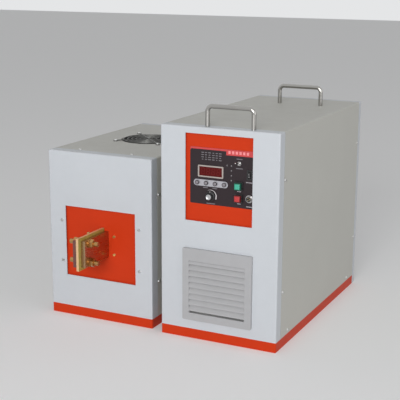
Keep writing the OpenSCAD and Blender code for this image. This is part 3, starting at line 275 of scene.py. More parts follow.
@dataclass
class SharedGroups:
    """The node groups that several finishes use, each built once."""

    built: dict[str, bpy.types.NodeTree] = field(default_factory=dict)

    def get(self, name: str) -> bpy.types.NodeTree:
        """Return a group by name, building it at its first use.

        Args:
            name: the group's short name.

        Returns:
            The group's node tree.
        """
        if name not in self.built:
            makers: dict[str, Callable[[], bpy.types.NodeTree]] = {
                "grain": self._grain,
                "brushed": self._brushed,
                "dust": self._dust,
                "scuffs": self._scuffs,
                "weave": self._weave,
            }
            self.built[name] = makers[name]()
        return self.built[name]

    @staticmethod
    def _grain() -> bpy.types.NodeTree:
        """Fine orange peel of paint or moulded plastic, with a slow drift of shade.

        Returns:
            The group's node tree.
        """
        sheet, given, leave = new_group(
            "surface_grain",
            [
                ("Colour", "Color", WHITE),
                ("Rough", "Float", 0.5),
                ("Scale", "Float", 900.0),
                ("Drift", "Float", 0.06),
            ],
            SKIN_OUTPUTS,
        )
        place = sheet.add("TexCoord").outputs["Object"]
        fine = sheet.noise(place, given["Scale"], 3.0)
        slow = sheet.noise(place, 9.0, 3.0)
        middle = sheet.noise(place, 70.0, 4.0)
        swing = sheet.math("MULTIPLY", sheet.math("SUBTRACT", slow, 0.5), given["Drift"])
        less = sheet.math("MULTIPLY", given["Drift"], 0.6)
        spot = sheet.math("MULTIPLY", sheet.math("SUBTRACT", middle, 0.5), less)
        gain = sheet.math("ADD", sheet.math("ADD", swing, spot), 1.0)
        shade = sheet.feed(sheet.add("CombineColor"), Red=gain, Green=gain, Blue=gain).outputs[0]
        colour = sheet.blend(1.0, given["Colour"], shade, "MULTIPLY")
        uneven = sheet.math("MULTIPLY", sheet.math("SUBTRACT", middle, 0.5), 0.16)
        rough = sheet.math("ADD", given["Rough"], uneven)
        sheet.feed(leave, Colour=colour, Roughness=rough, Height=fine)
        return sheet.tree

    @staticmethod
    def _brushed() -> bpy.types.NodeTree:
        """Drawn or brushed metal: fine lines along one direction, and a slow tarnish.

        Returns:
            The group's node tree.
        """
        sheet, given, leave = new_group(
            "brushed_lines",
            [
                ("Colour", "Color", WHITE),
                ("Tarnish", "Color", (0.3, 0.25, 0.2, 1.0)),
                ("Rough", "Float", 0.3),
                ("Lines", "Vector", (40.0, 900.0, 900.0)),
                ("Amount", "Float", 0.3),
            ],
            SKIN_OUTPUTS,
        )
        place = sheet.add("TexCoord").outputs["Object"]
        stretch = sheet.add("VectorMath", operation="MULTIPLY")
        sheet.join(place, stretch.inputs[0])
        sheet.join(given["Lines"], stretch.inputs[1])
        lines = sheet.noise(stretch.outputs[0], 1.0, 3.0)
        cloud = sheet.ramp(sheet.noise(place, 26.0, 5.0), 0.42, 0.72)
        mask = sheet.math("MULTIPLY", cloud, given["Amount"], clamp=True)
        colour = sheet.blend(mask, given["Colour"], given["Tarnish"])
        wave = sheet.math("MULTIPLY", sheet.math("SUBTRACT", lines, 0.5), 0.22)
        rough = sheet.math("ADD", sheet.math("ADD", given["Rough"], wave), sheet.math("MULTIPLY", mask, 0.18))
        sheet.feed(leave, Colour=colour, Roughness=rough, Height=lines)
        return sheet.tree

    @staticmethod
    def _dust() -> bpy.types.NodeTree:
        """Dust that settles on faces that look up, in soft patches.

        Returns:
            The group's node tree.
        """
        sheet, given, leave = new_group(
            "settled_dust",
            [
                ("Colour", "Color", WHITE),
                ("Rough", "Float", 0.5),
                ("Dust", "Color", (0.45, 0.42, 0.37, 1.0)),
                ("Amount", "Float", 0.2),
            ],
            SKIN_OUTPUTS[:2],
        )
        up = sheet.add("SeparateXYZ")
        sheet.join(sheet.add("NewGeometry").outputs["Normal"], up.inputs[0])
        facing = sheet.ramp(up.outputs["Z"], 0.2, 0.95)
        place = sheet.add("TexCoord").outputs["Object"]
        patches = sheet.ramp(sheet.noise(place, 34.0, 6.0), 0.3, 0.75)
        mask = sheet.math("MULTIPLY", sheet.math("MULTIPLY", facing, patches), given["Amount"], clamp=True)
        colour = sheet.blend(mask, given["Colour"], given["Dust"])
        rough = sheet.math("ADD", given["Rough"], sheet.math("MULTIPLY", mask, 0.3))
        sheet.feed(leave, Colour=colour, Roughness=rough)
        return sheet.tree

    @staticmethod
    def _scuffs() -> bpy.types.NodeTree:
        """Rub marks low on a cabinet, and small chips, in a second colour.

        Returns:
            The group's node tree.
        """
        sheet, given, leave = new_group(
            "rub_marks",
            [
                ("Colour", "Color", WHITE),
                ("Rough", "Float", 0.5),
                ("Mark", "Color", (0.5, 0.45, 0.42, 1.0)),
                ("Amount", "Float", 0.5),
                ("Reach", "Float", 0.06),
            ],
            SKIN_OUTPUTS[:2],
        )
        place = sheet.add("TexCoord").outputs["Object"]
        split = sheet.add("SeparateXYZ")
        sheet.join(place, split.inputs[0])
        height = sheet.math("DIVIDE", split.outputs["Z"], given["Reach"])
        low = sheet.math("SUBTRACT", 1.0, height, clamp=True)
        chips = sheet.ramp(sheet.noise(place, 230.0, 5.0), 0.66, 0.72)
        long_marks = sheet.add("VectorMath", operation="MULTIPLY")
        sheet.join(place, long_marks.inputs[0])
        long_marks.inputs[1].default_value = (18.0, 18.0, 160.0)
        rubs = sheet.ramp(sheet.noise(long_marks.outputs[0], 1.0, 6.0), 0.6, 0.75)
        marks = sheet.math("MAXIMUM", sheet.math("MULTIPLY", rubs, 0.55), chips)
        mask = sheet.math("MULTIPLY", sheet.math("MULTIPLY", marks, low), given["Amount"], clamp=True)
        colour = sheet.blend(mask, given["Colour"], given["Mark"])
        rough = sheet.math("ADD", given["Rough"], sheet.math("MULTIPLY", mask, 0.2))
        sheet.feed(leave, Colour=colour, Roughness=rough)
        return sheet.tree

    @staticmethod
    def _weave() -> bpy.types.NodeTree:
        """Crossed threads, as of glass cloth or needled fibre.

        Returns:
            The group's node tree.
        """
        sheet, given, leave = new_group(
            "crossed_threads",
            [
                ("Colour", "Color", WHITE),
                ("Thread", "Color", WHITE),
                ("Rough", "Float", 0.7),
                ("Scale", "Float", 700.0),
            ],
            SKIN_OUTPUTS,
        )
        place = sheet.add("TexCoord").outputs["Object"]
        heights = []
        for direction in ("X", "Y", "Z"):
            wave = sheet.add("TexWave", wave_type="BANDS", bands_direction=direction)
            sheet.feed(wave, Vector=place, Scale=given["Scale"], Distortion=1.5)
            heights.append(wave.outputs["Fac"])
        cross = sheet.math("MAXIMUM", sheet.math("MAXIMUM", heights[0], heights[1]), heights[2])
        cloud = sheet.noise(place, 40.0, 4.0)
        shown = sheet.math("MULTIPLY", cross, cloud)
        colour = sheet.blend(shown, given["Colour"], given["Thread"])
        rough = sheet.math("ADD", given["Rough"], sheet.math("MULTIPLY", cross, -0.12))
        sheet.feed(leave, Colour=colour, Roughness=rough, Height=cross)
        return sheet.tree


class MaterialSheet(NodeSheet):
    """A material's node tree, with its shader and the shared groups at hand."""

    def __init__(self, material: bpy.types.Material, groups: SharedGroups, specular: float) -> None:
        """Start from the shader and the material's output.

        Args:
            material: the material.
            groups: the shared node groups.
            specular: the shader's specular level.
        """
        material.use_nodes = True
        super().__init__(material.node_tree)
        self.groups = groups
        self.shader = self.feed(self.add("BsdfPrincipled"), Specular_IOR_Level=specular)
        self.join(self.shader.outputs[0], self.add("OutputMaterial").inputs["Surface"])

    def place(self, name: str, **inputs: object) -> bpy.types.NodeOutputs:
        """Place a shared group and feed it.

        Args:
            name: the group's short name.
            inputs: input name to value or socket.

        Returns:
            The group's outputs.
        """
        node = self.add("Group")
        node.node_tree = self.groups.get(name)
        return self.feed(node, **inputs).outputs

    def wear(self, skin: bpy.types.NodeOutputs, height: bpy.types.NodeSocket, depth_mm: float) -> None:
        """Feed the shader's colour and roughness from a group, and its normal from a height.

        Args:
            skin: the group's outputs.
            height: height from 0 to 1.
            depth_mm: what a height of 1 stands for.
        """
        self.feed(self.shader, Base_Color=skin["Colour"], Roughness=skin["Roughness"])
        bump = self.feed(self.add("Bump"), Height=height, Strength=1.0, Distance=depth_mm * MM)
        self.join(bump.outputs[0], self.shader.inputs["Normal"])


@dataclass(frozen=True)
class Finish:
    """What every finish shares: its material's name and the record's slot."""

    name: str
    slot: str
    colour: Colour
    rough: float
    specular: float = field(default=0.5, kw_only=True)

    def material(self, groups: SharedGroups) -> bpy.types.Material:
        """Build the material.

        Args:
            groups: the shared node groups.

        Returns:
            The new material.
        """
        made = bpy.data.materials.new(self.name)
        self.fill(MaterialSheet(made, groups, self.specular))
        made.diffuse_color = (*self.colour, 1.0)
        return made

    def fill(self, sheet: MaterialSheet) -> None:
        """Join the finish's own nodes to the shader."""
        raise NotImplementedError


@dataclass(frozen=True)
class Grained(Finish):
    """A finish with a fine grain, a slow drift of shade and settled dust."""

    grain: float = 700.0
    grain_depth: float = 0.02
    drift: float = 0.07
    dust: float = 0.15

    def grain_skin(self, sheet: MaterialSheet) -> bpy.types.NodeOutputs:
        """Place the grain in the finish's colour.

        Args:
            sheet: the material's sheet.

        Returns:
            The grain's outputs.
        """
        colour = (*self.colour, 1.0)
        return sheet.place("grain", Colour=colour, Rough=self.rough, Scale=self.grain, Drift=self.drift)

    def dust_over(self, sheet: MaterialSheet, skin: bpy.types.NodeOutputs) -> bpy.types.NodeOutputs:
        """Place the dust over another group.

        Args:
            sheet: the material's sheet.
            skin: outputs of the group under the dust.

        Returns:
            The dust's outputs.
        """
        return sheet.place("dust", Colour=skin["Colour"], Rough=skin["Roughness"], Amount=self.dust)


@dataclass(frozen=True)
class Paint(Grained):
    """Powder coat or gloss paint on sheet steel."""

    marks: float = 0.25
    mark_colour: Colour = (0.30, 0.28, 0.26)

    def fill(self, sheet: MaterialSheet) -> None:
        """Paint grain, then rub marks, then dust.

        Args:
            sheet: the material's sheet.
        """
        grain = self.grain_skin(sheet)
        marks = sheet.place(
            "scuffs",
            Colour=grain["Colour"],
            Rough=grain["Roughness"],
            Mark=(*self.mark_colour, 1.0),
            Amount=self.marks,
        )
        sheet.wear(self.dust_over(sheet, marks), grain["Height"], self.grain_depth)


@dataclass(frozen=True)
class Metal(Finish):
    """Bare or plated metal with drawn lines and a slow tarnish."""

    lines: Point = (900.0, 60.0, 900.0)
    tarnish: Colour = (0.28, 0.20, 0.14)
    amount: float = 0.3
    line_depth: float = 0.004

    def fill(self, sheet: MaterialSheet) -> None:
        """Brushed lines over a metallic shader.

        Args:
            sheet: the material's sheet.
        """
        sheet.feed(sheet.shader, Metallic=1.0)
        skin = sheet.place(
            "brushed",
            Colour=(*self.colour, 1.0),
            Tarnish=(*self.tarnish, 1.0),
            Rough=self.rough,
            Lines=self.lines,
            Amount=self.amount,
        )
        sheet.wear(skin, skin["Height"], self.line_depth)


@dataclass(frozen=True)
class Plastic(Grained):
    """Moulded plastic or printed film with a fine grain."""

    grain: float = 1400.0
    grain_depth: float = 0.01
    drift: float = 0.12
    dust: float = 0.12
    coat: float = 0.0
    coat_rough: float = 0.12

    def fill(self, sheet: MaterialSheet) -> None:
        """Plastic grain, then dust, with an optional clear coat.

        Args:
            sheet: the material's sheet.
        """
        grain = self.grain_skin(sheet)
        dust = self.dust_over(sheet, grain)
        sheet.feed(sheet.shader, Coat_Weight=self.coat, Coat_Roughness=self.coat_rough)
        sheet.wear(dust, grain["Height"], self.grain_depth)


@dataclass(frozen=True)
class Threads(Finish):
    """Glass cloth board, fibre mat or taped winding."""

    thread: Colour = (0.8, 0.8, 0.8)
    scale: float = 700.0
    depth: float = 0.03
    coat: float = 0.0

    def fill(self, sheet: MaterialSheet) -> None:
        """Crossed threads, with an optional resin coat.

        Args:
            sheet: the material's sheet.
        """
        colour, thread = (*self.colour, 1.0), (*self.thread, 1.0)
        skin = sheet.place("weave", Colour=colour, Thread=thread, Rough=self.rough, Scale=self.scale)
        sheet.feed(sheet.shader, Coat_Weight=self.coat)
        sheet.wear(skin, skin["Height"], self.depth)


@dataclass(frozen=True)
class PaintedShadeBoard(Threads):
    """Glass cloth board with painted light: its edges in a lighter colour as the lit side, its two faces in a
    darker colour as painted shade.
    """

    # painted light: the lighter colour of the edges, which stand as the lit side of the board
    edge: Colour = (0.8, 0.6, 0.4)

    def fill(self, sheet: MaterialSheet) -> None:
        """Threads on the two faces as painted shade, and the lighter edge colour as painted light where the
        surface looks any other way.

        Args:
            sheet: the material's sheet.
        """
        super().fill(sheet)
        base = sheet.shader.inputs["Base Color"]
        faces = base.links[0].from_socket
        split = sheet.add("SeparateXYZ")
        sheet.join(sheet.add("TexCoord").outputs["Normal"], split.inputs[0])
        # Faces that look along X keep the darker threads as painted shade; the rest get the edge colour as
        # painted light.
        painted_shade_side = sheet.ramp(sheet.math("ABSOLUTE", split.outputs["X"]), 0.4, 0.6)
        sheet.join(sheet.blend(painted_shade_side, self.edge, faces), base)


LINES_X: Point = (50.0, 900.0, 900.0)
LINES_Y: Point = (900.0, 50.0, 900.0)
LINES_Z: Point = (900.0, 900.0, 50.0)

WHITE_PAINT = Paint("front_white_paint", "white_paint", tint(204, 208, 213), 0.42)
GREY_PAINT = Paint("cover_grey_paint", "grey_paint", tint(198, 197, 190), 0.5, grain=520.0, grain_depth=0.035)
ORANGE_PAINT = Paint(
    "tray_orange_paint",
    "orange_paint",
    tint(208, 59, 23),
    0.38,
    specular=0.12,
    mark_colour=(0.35, 0.10, 0.06),
)
ORANGE_BOARD = Paint("board_orange_paint", "panel_orange", tint(208, 59, 23), 0.45, specular=0.12, marks=0.0)
ZINC = Metal("zinc_sheet", "zinc_steel", (0.62, 0.63, 0.65), 0.42, amount=0.5, tarnish=(0.4, 0.4, 0.42))
SCREW_STEEL = Metal(
    "screw_steel", "screw_steel", (0.66, 0.66, 0.65), 0.34, amount=0.3, tarnish=(0.25, 0.23, 0.2)
)
CHROME = Metal(
    "handle_plate",
    "handle_chrome",
    (0.42, 0.41, 0.39),
    0.11,
    lines=LINES_X,
    amount=0.15,
    tarnish=(0.2, 0.19, 0.18),
)
GUARD_WIRE = Metal(
    "guard_wire", "screw_steel", (0.18, 0.18, 0.17), 0.4, amount=0.3, tarnish=(0.10, 0.10, 0.09)
)
# Brighter copy of the switch metal: painted highlight on the toggle bushing.
BUSHING_PAINTED_HIGHLIGHT = Metal("switch_plate_painted_highlight", "switch_metal", (0.74, 0.74, 0.74), 0.2, amount=0.1)
# Darker copy of the switch metal: painted shade on the toggle lever.
LEVER_PAINTED_SHADE = Metal("lever_plate_painted_shade", "switch_metal", (0.46, 0.45, 0.45), 0.2, amount=0.1)
NICKEL = Metal(
    "socket_nickel", "switch_metal", (0.42, 0.41, 0.41), 0.26, amount=0.2, tarnish=(0.2, 0.19, 0.18)
)
STRIP = Metal("key_strip_plate", "strip_silver", (0.50, 0.49, 0.53), 0.48, lines=LINES_X, amount=0.05)
CAP_SILVER = Metal("knob_cap_plate", "strip_silver", (0.62, 0.62, 0.64), 0.3, amount=0.05)
BRASS = Metal("bright_brass", "brass", (0.88, 0.64, 0.28), 0.22, amount=0.35, tarnish=(0.40, 0.25, 0.10))
BOLT_BRASS = Metal("bolt_brass", "brass", (0.52, 0.29, 0.11), 0.24, amount=0.45, tarnish=(0.24, 0.11, 0.05))
COPPER = Metal(
    "polished_copper",
    "copper",
    (0.90, 0.46, 0.30),
    0.2,
    lines=LINES_Y,
    amount=0.45,
    tarnish=(0.35, 0.13, 0.09),
)
# Darker copper than the right plate's, given to the left terminal plate.
DARKER_COPPER = Metal(
    "darker_copper",
    "copper",
    (0.28, 0.13, 0.11),
    0.32,
    lines=LINES_Y,
    amount=0.8,
    tarnish=(0.20, 0.10, 0.10),
)
WORN_COPPER = Metal(
    "worn_copper", "copper", (0.50, 0.33, 0.19), 0.26, lines=LINES_Y, amount=0.6, tarnish=(0.36, 0.17, 0.12)
)
ALUMINIUM = Metal("extruded_aluminium", "sink_aluminium", (0.80, 0.81, 0.83), 0.36, lines=LINES_Y, amount=0.1)
TANK_CAN = Metal("drawn_can", "tank_can", (0.74, 0.75, 0.76), 0.33, lines=LINES_Z, amount=0.1)
OVERLAY = Plastic("overlay_film", "overlay_black", tint(54, 46, 49), 0.5, specular=0.14)
BLACK = Plastic("moulded_black", "black_plastic", (0.018, 0.018, 0.020), 0.42)
BEZEL = Plastic("bezel_plastic", "bezel_grey", tint(176, 166, 160), 0.45)
DISPLAY = Plastic("display_filter", "display_red", (0.10, 0.008, 0.008), 0.3, specular=0.1, dust=0.03)
SEGMENT = Plastic("display_segment", "display_red", (0.16, 0.02, 0.02), 0.3, specular=0.1, dust=0.0)
KEY_FACE = Plastic("key_face", "key_grey", tint(138, 132, 138), 0.4)
KEY_RING = Plastic("key_ring", "key_grey", tint(62, 58, 62), 0.4)
GREEN = Plastic("start_button_green", "button_green", tint(66, 178, 150), 0.3, coat=0.3)
# Darker copy of the green: painted shade on the start button's sides.
GREEN_PAINTED_SHADE = Plastic("start_button_painted_shade", "button_green", tint(14, 98, 76), 0.35)
RED = Plastic("stop_button_red", "button_red", tint(196, 52, 54), 0.3, coat=0.3)
# Darker copy of the red: painted shade on the stop button's sides.
RED_PAINTED_SHADE = Plastic("stop_button_painted_shade", "button_red", tint(118, 20, 24), 0.35)
LED = Plastic("led_lens", "led_lens", tint(118, 108, 112), 0.2, coat=0.4)
GRILLE = Plastic("grille_plastic", "grille_grey", tint(176, 176, 178), 0.55, grain=900.0)
BOARD = Plastic("circuit_board", "board_green", (0.02, 0.11, 0.05), 0.35, coat=0.3)
MODULE = Plastic("module_case", "module_black", (0.03, 0.03, 0.035), 0.5)
SLEEVE = Plastic("can_sleeve", "can_sleeve", (0.05, 0.10, 0.28), 0.3, coat=0.3)
VARNISH = Paint("choke_varnish", "choke_iron", (0.16, 0.06, 0.03), 0.3, marks=0.0)
PRINT = Plastic("overlay_print", "overlay_black", tint(205, 200, 202), 0.5, dust=0.0)
PRINT_MID = Plastic("overlay_print_mid", "overlay_black", tint(165, 160, 165), 0.5, dust=0.0)
PRINT_DIM = Plastic("overlay_print_dim", "overlay_black", tint(120, 116, 121), 0.5, dust=0.0)
BAND_RED = Plastic("overlay_band", "overlay_black", tint(209, 77, 78), 0.45, dust=0.0, specular=0.3)
BAND_LIGHT = Plastic("overlay_band_blocks", "overlay_black", tint(250, 150, 152), 0.45, dust=0.0)
FERRITE = Plastic("sintered_ferrite", "ferrite", (0.03, 0.03, 0.032), 0.6)
# Board with painted light and shade: darker threaded faces, lighter edges.
EPOXY = PaintedShadeBoard(
    "epoxy_glass",
    "epoxy_board",
    tint(150, 134, 58),
    0.4,
    thread=tint(186, 168, 92),
    scale=420.0,
    coat=0.2,
    edge=tint(226, 186, 138),
)
FIBRE = Threads(
    "filter_fibre", "filter_fibre", tint(205, 205, 198), 0.9, thread=tint(238, 238, 232), depth=0.3
)
TAPE = Threads(
    "coil_tape", "coil_tape", (0.22, 0.05, 0.02), 0.5, thread=(0.35, 0.10, 0.05), scale=300.0, coat=0.2
)

ProfilePoint = tuple[float, float]


class Shape:
    """A mesh in the making, in row metres."""

    def __init__(self) -> None:
        """Start an empty mesh."""
        self.mesh = bmesh.new()

    def block(self, low: Vector, high: Vector, edge_mm: float = 0.0, steps: int = 2) -> Shape:
        """Add a box with rounded edges.

        Args:
            low: lowest corner.
            high: highest corner.
            edge_mm: radius of the edges.
            steps: segments of the rounding.

        Returns:
            The same shape.
        """
        size, centre = high - low, (high + low) / 2
        matrix = Matrix.Translation(centre) @ Matrix.Diagonal((*size, 1.0))
        made = bmesh.ops.create_cube(self.mesh, size=1.0, matrix=matrix)
        if edge_mm:
            edges = {edge for vert in made["verts"] for edge in vert.link_edges}
            bmesh.ops.bevel(
                self.mesh,
                geom=list(edges),
                offset=edge_mm * MM,
                segments=steps,
                affect="EDGES",
                profile=0.5,
            )
        return self

    def lathe(self, profile: Sequence[ProfilePoint], centre: Vector, steps: int = 48) -> Shape:
        """Add a round form about the Y axis from its profile, closed at both ends.

        Args:
            profile: radius and distance along the axis, in millimetres, from one end to the other.
            centre: place of distance zero, in metres.
            steps: segments round.

        Returns:
            The same shape.
        """
        rings: list[list[bmesh.types.BMVert]] = []
        for radius, along in profile:
            if radius <= 0:
                rings.append([self.mesh.verts.new(self._polar(0.0, 0.0, along, centre))])
                continue
            places = [self._polar(radius, FULL_TURN * i / steps, along, centre) for i in range(steps)]
            rings.append([self.mesh.verts.new(place) for place in places])
        for first, second in zip(rings, rings[1:]):
            self._bridge(first, second, steps)
        for ring in (rings[0], rings[-1]):
            if len(ring) > 1:
                self.mesh.faces.new(ring)
        return self

    def _bridge(self, first: list[bmesh.types.BMVert], second: list[bmesh.types.BMVert], steps: int) -> None:
        """Join two rings, either of which may be a single point.

        Args:
            first: vertices of the first ring.
            second: vertices of the second ring.
            steps: segments round.
        """
        for i in range(steps):
            j = (i + 1) % steps
            if len(first) == 1 and len(second) == 1:
                return
            if len(first) == 1:
                self.mesh.faces.new((first[0], second[j], second[i]))
            elif len(second) == 1:
                self.mesh.faces.new((first[i], first[j], second[0]))
            else:
                self.mesh.faces.new((first[i], first[j], second[j], second[i]))

    @staticmethod
    def _polar(radius: float, angle: float, along: float, centre: Vector) -> Vector:
        """Place of a point given round the Y axis.

        Args:
            radius: distance from the axis in millimetres.
            angle: angle round it in radians.
            along: distance along it in millimetres.
            centre: place of distance zero, in metres.

        Returns:
            The point in metres.
        """
        return centre + Vector((radius * math.cos(angle), along, radius * math.sin(angle))) * MM

    def plate(self, outline: Sequence[tuple[float, float]], origin: Vector, thickness: float) -> Shape:
        """Add an outline in the XZ plane, made solid backwards.

        Args:
            outline: x and z of each corner, in millimetres.
            origin: place of the outline's zero, in metres.
            thickness: depth along Y in millimetres.

        Returns:
            The same shape.
        """
        front = [self.mesh.verts.new(origin + Vector((x, 0, z)) * MM) for x, z in outline]
        back = [self.mesh.verts.new(v.co + Vector((0, thickness * MM, 0))) for v in front]
        self.mesh.faces.new(front)
        self.mesh.faces.new(list(reversed(back)))
        count = len(front)
        for i in range(count):
            j = (i + 1) % count
            self.mesh.faces.new((front[i], back[i], back[j], front[j]))
        return self

    def arc(
        self,
        origin: Vector,
        inner: float,
        widths: tuple[float, float],
        degrees: tuple[float, float],
        thickness: float,
    ) -> Shape:
        """Add a flat arc in the XZ plane, made solid backwards.

        Args:
            origin: the arc's centre on its front face, in metres.
            inner: inner radius in millimetres.
            widths: width at the first and the last end, in millimetres.
            degrees: angle of the two ends, from +X towards +Z.
            thickness: depth along Y in millimetres.

        Returns:
            The same shape.
        """
        steps = max(ARC_LEAST_STEPS, round(abs(degrees[1] - degrees[0]) / ARC_DEGREES))
        sides: list[list[bmesh.types.BMVert]] = []
        for i in range(steps + 1):
            share = i / steps
            angle = math.radians(degrees[0] + (degrees[1] - degrees[0]) * share)
            outer = inner + widths[0] + (widths[1] - widths[0]) * share
            ring = []
            for radius, along in ((inner, 0.0), (outer, 0.0), (outer, thickness), (inner, thickness)):
                place = Vector((radius * math.cos(angle), along, radius * math.sin(angle))) * MM
                ring.append(self.mesh.verts.new(origin + place))
            sides.append(ring)
        for first, second in zip(sides, sides[1:]):
            self._bridge(first, second, len(first))
        self.mesh.faces.new(sides[0])
        self.mesh.faces.new(list(reversed(sides[-1])))
        return self

    def turn(self, angle: float, pivot: Vector, axis: Vector) -> Shape:
        """Turn all that is in the shape so far about an axis through a pivot.

        Args:
            angle: angle in radians.
            pivot: a point of the axis, in metres.
            axis: the axis's direction.

        Returns:
            The same shape.
        """
        matrix = Matrix.Translation(pivot) @ Matrix.Rotation(angle, 4, axis) @ Matrix.Translation(-pivot)
        bmesh.ops.transform(self.mesh, matrix=matrix, verts=self.mesh.verts)
        return self


@dataclass
class Workshop:
    """Makes pieces, dresses CAD nodes and logs the faces of each piece."""

    nodes: dict[str, bpy.types.Object]
    groups: SharedGroups = field(default_factory=SharedGroups)
    materials: dict[str, bpy.types.Material] = field(default_factory=dict)

    def material(self, finish: Finish) -> bpy.types.Material:
        """Return a finish's material, building it at its first use.

        Args:
            finish: the finish.

        Returns:
            Its material.
        """
        if finish.name not in self.materials:
            self.materials[finish.name] = finish.material(self.groups)
        return self.materials[finish.name]

    def piece(
        self,
        name: str,
        shape: Shape,
        body: Body,
        finish: Finish,
        replaces: Iterable[str] = (),
    ) -> None:
        """Turn a shape into a piece that rides on a body.

        Args:
            name: the piece's name.
            shape: its mesh.
            body: the body that it moves with.
            finish: its finish.
            replaces: CAD nodes that it stands for.
        """
        bmesh.ops.recalc_face_normals(shape.mesh, faces=shape.mesh.faces)
        mesh = bpy.data.meshes.new(name)
        shape.mesh.to_mesh(mesh)
        shape.mesh.free()
        mesh.materials.append(self.material(finish))
        mesh.shade_smooth()
        mesh.set_sharp_from_angle(angle=SHARP_FROM)
        made = bpy.data.objects.new(name, mesh)
        bpy.context.scene.collection.objects.link(made)
        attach(made, body.value)
        for node in replaces:
            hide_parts(node)
        LOG.info("piece %s on %s: %d faces", name, body.value, len(mesh.polygons))

    def dress(self, finish: Finish, *names: str) -> None:
        """Give CAD nodes a finish.

        Args:
            finish: the finish.
            names: the nodes.
        """
        for name in names:
            node = self.nodes[name]
            node.data.materials.clear()
            node.data.materials.append(self.material(finish))
            LOG.info("node %s dressed as %s", name, finish.name)


Coat = tuple[Finish, tuple[str, ...]]


@dataclass
class Dressed:
    """A sub-assembly, with the CAD nodes that it gives a finish."""

    coats: Sequence[Coat] = ()

    def build(self, shop: Workshop) -> None:
        """Dress the nodes.

        Args:
            shop: the workshop.
        """
        for finish, names in self.coats:
            shop.dress(finish, *names)


@dataclass
class Cabinets(Dressed):
    """The sheet metal of both units, with its screws and handles."""

    coats: Sequence[Coat] = (
        (ORANGE_PAINT, ("base_tray", "transformer_base_tray", "control_plate")),
        (WHITE_PAINT, ("front_panel", "rear_panel", "transformer_front_panel", "transformer_rear_panel")),
        (GREY_PAINT, ("cover", "transformer_cover")),
        (ORANGE_BOARD, ("insulating_panel",)),
        (SCREW_STEEL, ("cabinet_screws", "transformer_screws", "handle_screws")),
        (CHROME, ("handles",)),
        (ZINC, ("chassis_frame",)),
    )


@dataclass
class PanelPrint:
    """Plain marks printed on the overlay: bars in place of words, the power scale and the coloured band."""

    face: float = PANEL_FACE
    ink: float = 0.12
    scale_centre: tuple[float, float] = (106.3, 296.6)
    scale_radius: float = 11.2
    scale_widths: tuple[float, float] = (0.5, 2.4)
    scale_degrees: tuple[float, float] = (118.6, -28.5)
    table_left: float = 86.0
    table_rows: Sequence[float] = (380.6, 376.2, 371.8, 367.4)
    table_widths: Sequence[float] = (6.0, 5.0, 7.0, 6.0, 5.0, 6.5)
    table_gap: float = 1.6
    short_every: int = 4
    short_share: float = 0.5
    full_share: float = 0.86
    bar_height: float = 1.6
    band_left: float = 62.62
    band_right: float = 196.4
    band_top: float = 390.4
    band_low: float = 386.7
    wide_left: float = 139.0
    wide_low: float = 379.3
    corner: float = 4.0
    corner_less: float = 1.1
    corner_steps: int = 8
    block_count: int = 6
    block_pitch: float = 7.6
    block_first: float = 145.6
    block_z: float = 385.0
    block_size: tuple[float, float] = (4.6, 5.6)
    block_ink: float = 0.2
    dim_bars: Sequence[tuple[float, float, float]] = (
        (166.5, 373.8, 12.0),
        (166.5, 355.6, 14.0),
        (95.5, 312.0, 10.0),
        (115.4, 312.0, 10.0),
        (107.0, 281.4, 18.0),
    )
    light_bars: Sequence[tuple[float, float, float]] = (
        (166.5, 311.2, 8.0),
        (166.5, 287.2, 7.0),
        (187.0, 330.4, 13.0),
        (187.5, 283.4, 12.0),
    )

    def bar(self, shape: Shape, x: float, z: float, width: float, height: float) -> None:
        """Add one printed bar centred on a place of the panel.

        Args:
            shape: the shape that takes the bar.
            x: place across, in millimetres.
            z: height above the floor.
            width: the bar's width.
            height: the bar's height.
        """
        shape.block(*panel_box((x, z), width, height, (self.face - self.ink, self.face + self.ink)))

    def band(self) -> Shape:
        """The coloured band along the overlay's top, wider at the right and rounded over the dark field.

        Returns:
            The band's shape.
        """
        outline: list[tuple[float, float]] = []
        r = self.corner
        for i in range(self.corner_steps + 1):
            angle = math.radians(180 - 90 * i / self.corner_steps)
            x = self.band_left + r + r * math.cos(angle)
            outline.append((x, self.band_low - r + r * math.sin(angle)))
        outline += [(self.wide_left, self.band_low), (self.wide_left, self.wide_low)]
        outline += [(self.band_right, self.wide_low), (self.band_right, self.band_top)]
        r = self.corner - self.corner_less
        for i in range(self.corner_steps + 1):
            angle = math.radians(90 + 90 * i / self.corner_steps)
            x = self.band_left + r + r * math.cos(angle)
            outline.append((x, self.band_top - r + r * math.sin(angle)))
        return Shape().plate(outline, power(0.0, self.face - self.ink, 0.0), 2 * self.ink)

    def build(self, shop: Workshop) -> None:
        """Print the marks.

        Args:
            shop: the workshop.
        """
        origin = power(self.scale_centre[0], self.face - self.ink, self.scale_centre[1])
        scale = Shape().arc(origin, self.scale_radius, self.scale_widths, self.scale_degrees, 2 * self.ink)
        shop.piece("power_scale", scale, Body.POWER, PRINT)
        table = Shape()
        for row, z in enumerate(self.table_rows):
            x = self.table_left
            for column, width in enumerate(self.table_widths):
                short = (row + column + 1) % self.short_every == 0
                inked = width * (self.short_share if short else self.full_share)
                self.bar(table, x + width / 2, z, inked, self.bar_height)
                x += width + self.table_gap
        shop.piece("label_bars_table", table, Body.POWER, PRINT_DIM)
        for name, bars, finish in (("dim", self.dim_bars, PRINT_DIM), ("light", self.light_bars, PRINT_MID)):
            marks = Shape()
            for x, z, width in bars:
                self.bar(marks, x, z, width, self.bar_height)
            shop.piece(f"label_bars_{name}", marks, Body.POWER, finish)
        shop.piece("overlay_colour_band", self.band(), Body.POWER, BAND_RED)
        blocks = Shape()
        for i in range(self.block_count):
            x = self.block_first + self.block_pitch * i
            box = panel_box((x, self.block_z), *self.block_size, (self.face - self.block_ink, self.face))
            blocks.block(*box, edge_mm=0.05, steps=1)
        shop.piece("overlay_bare_blocks", blocks, Body.POWER, BAND_LIGHT)


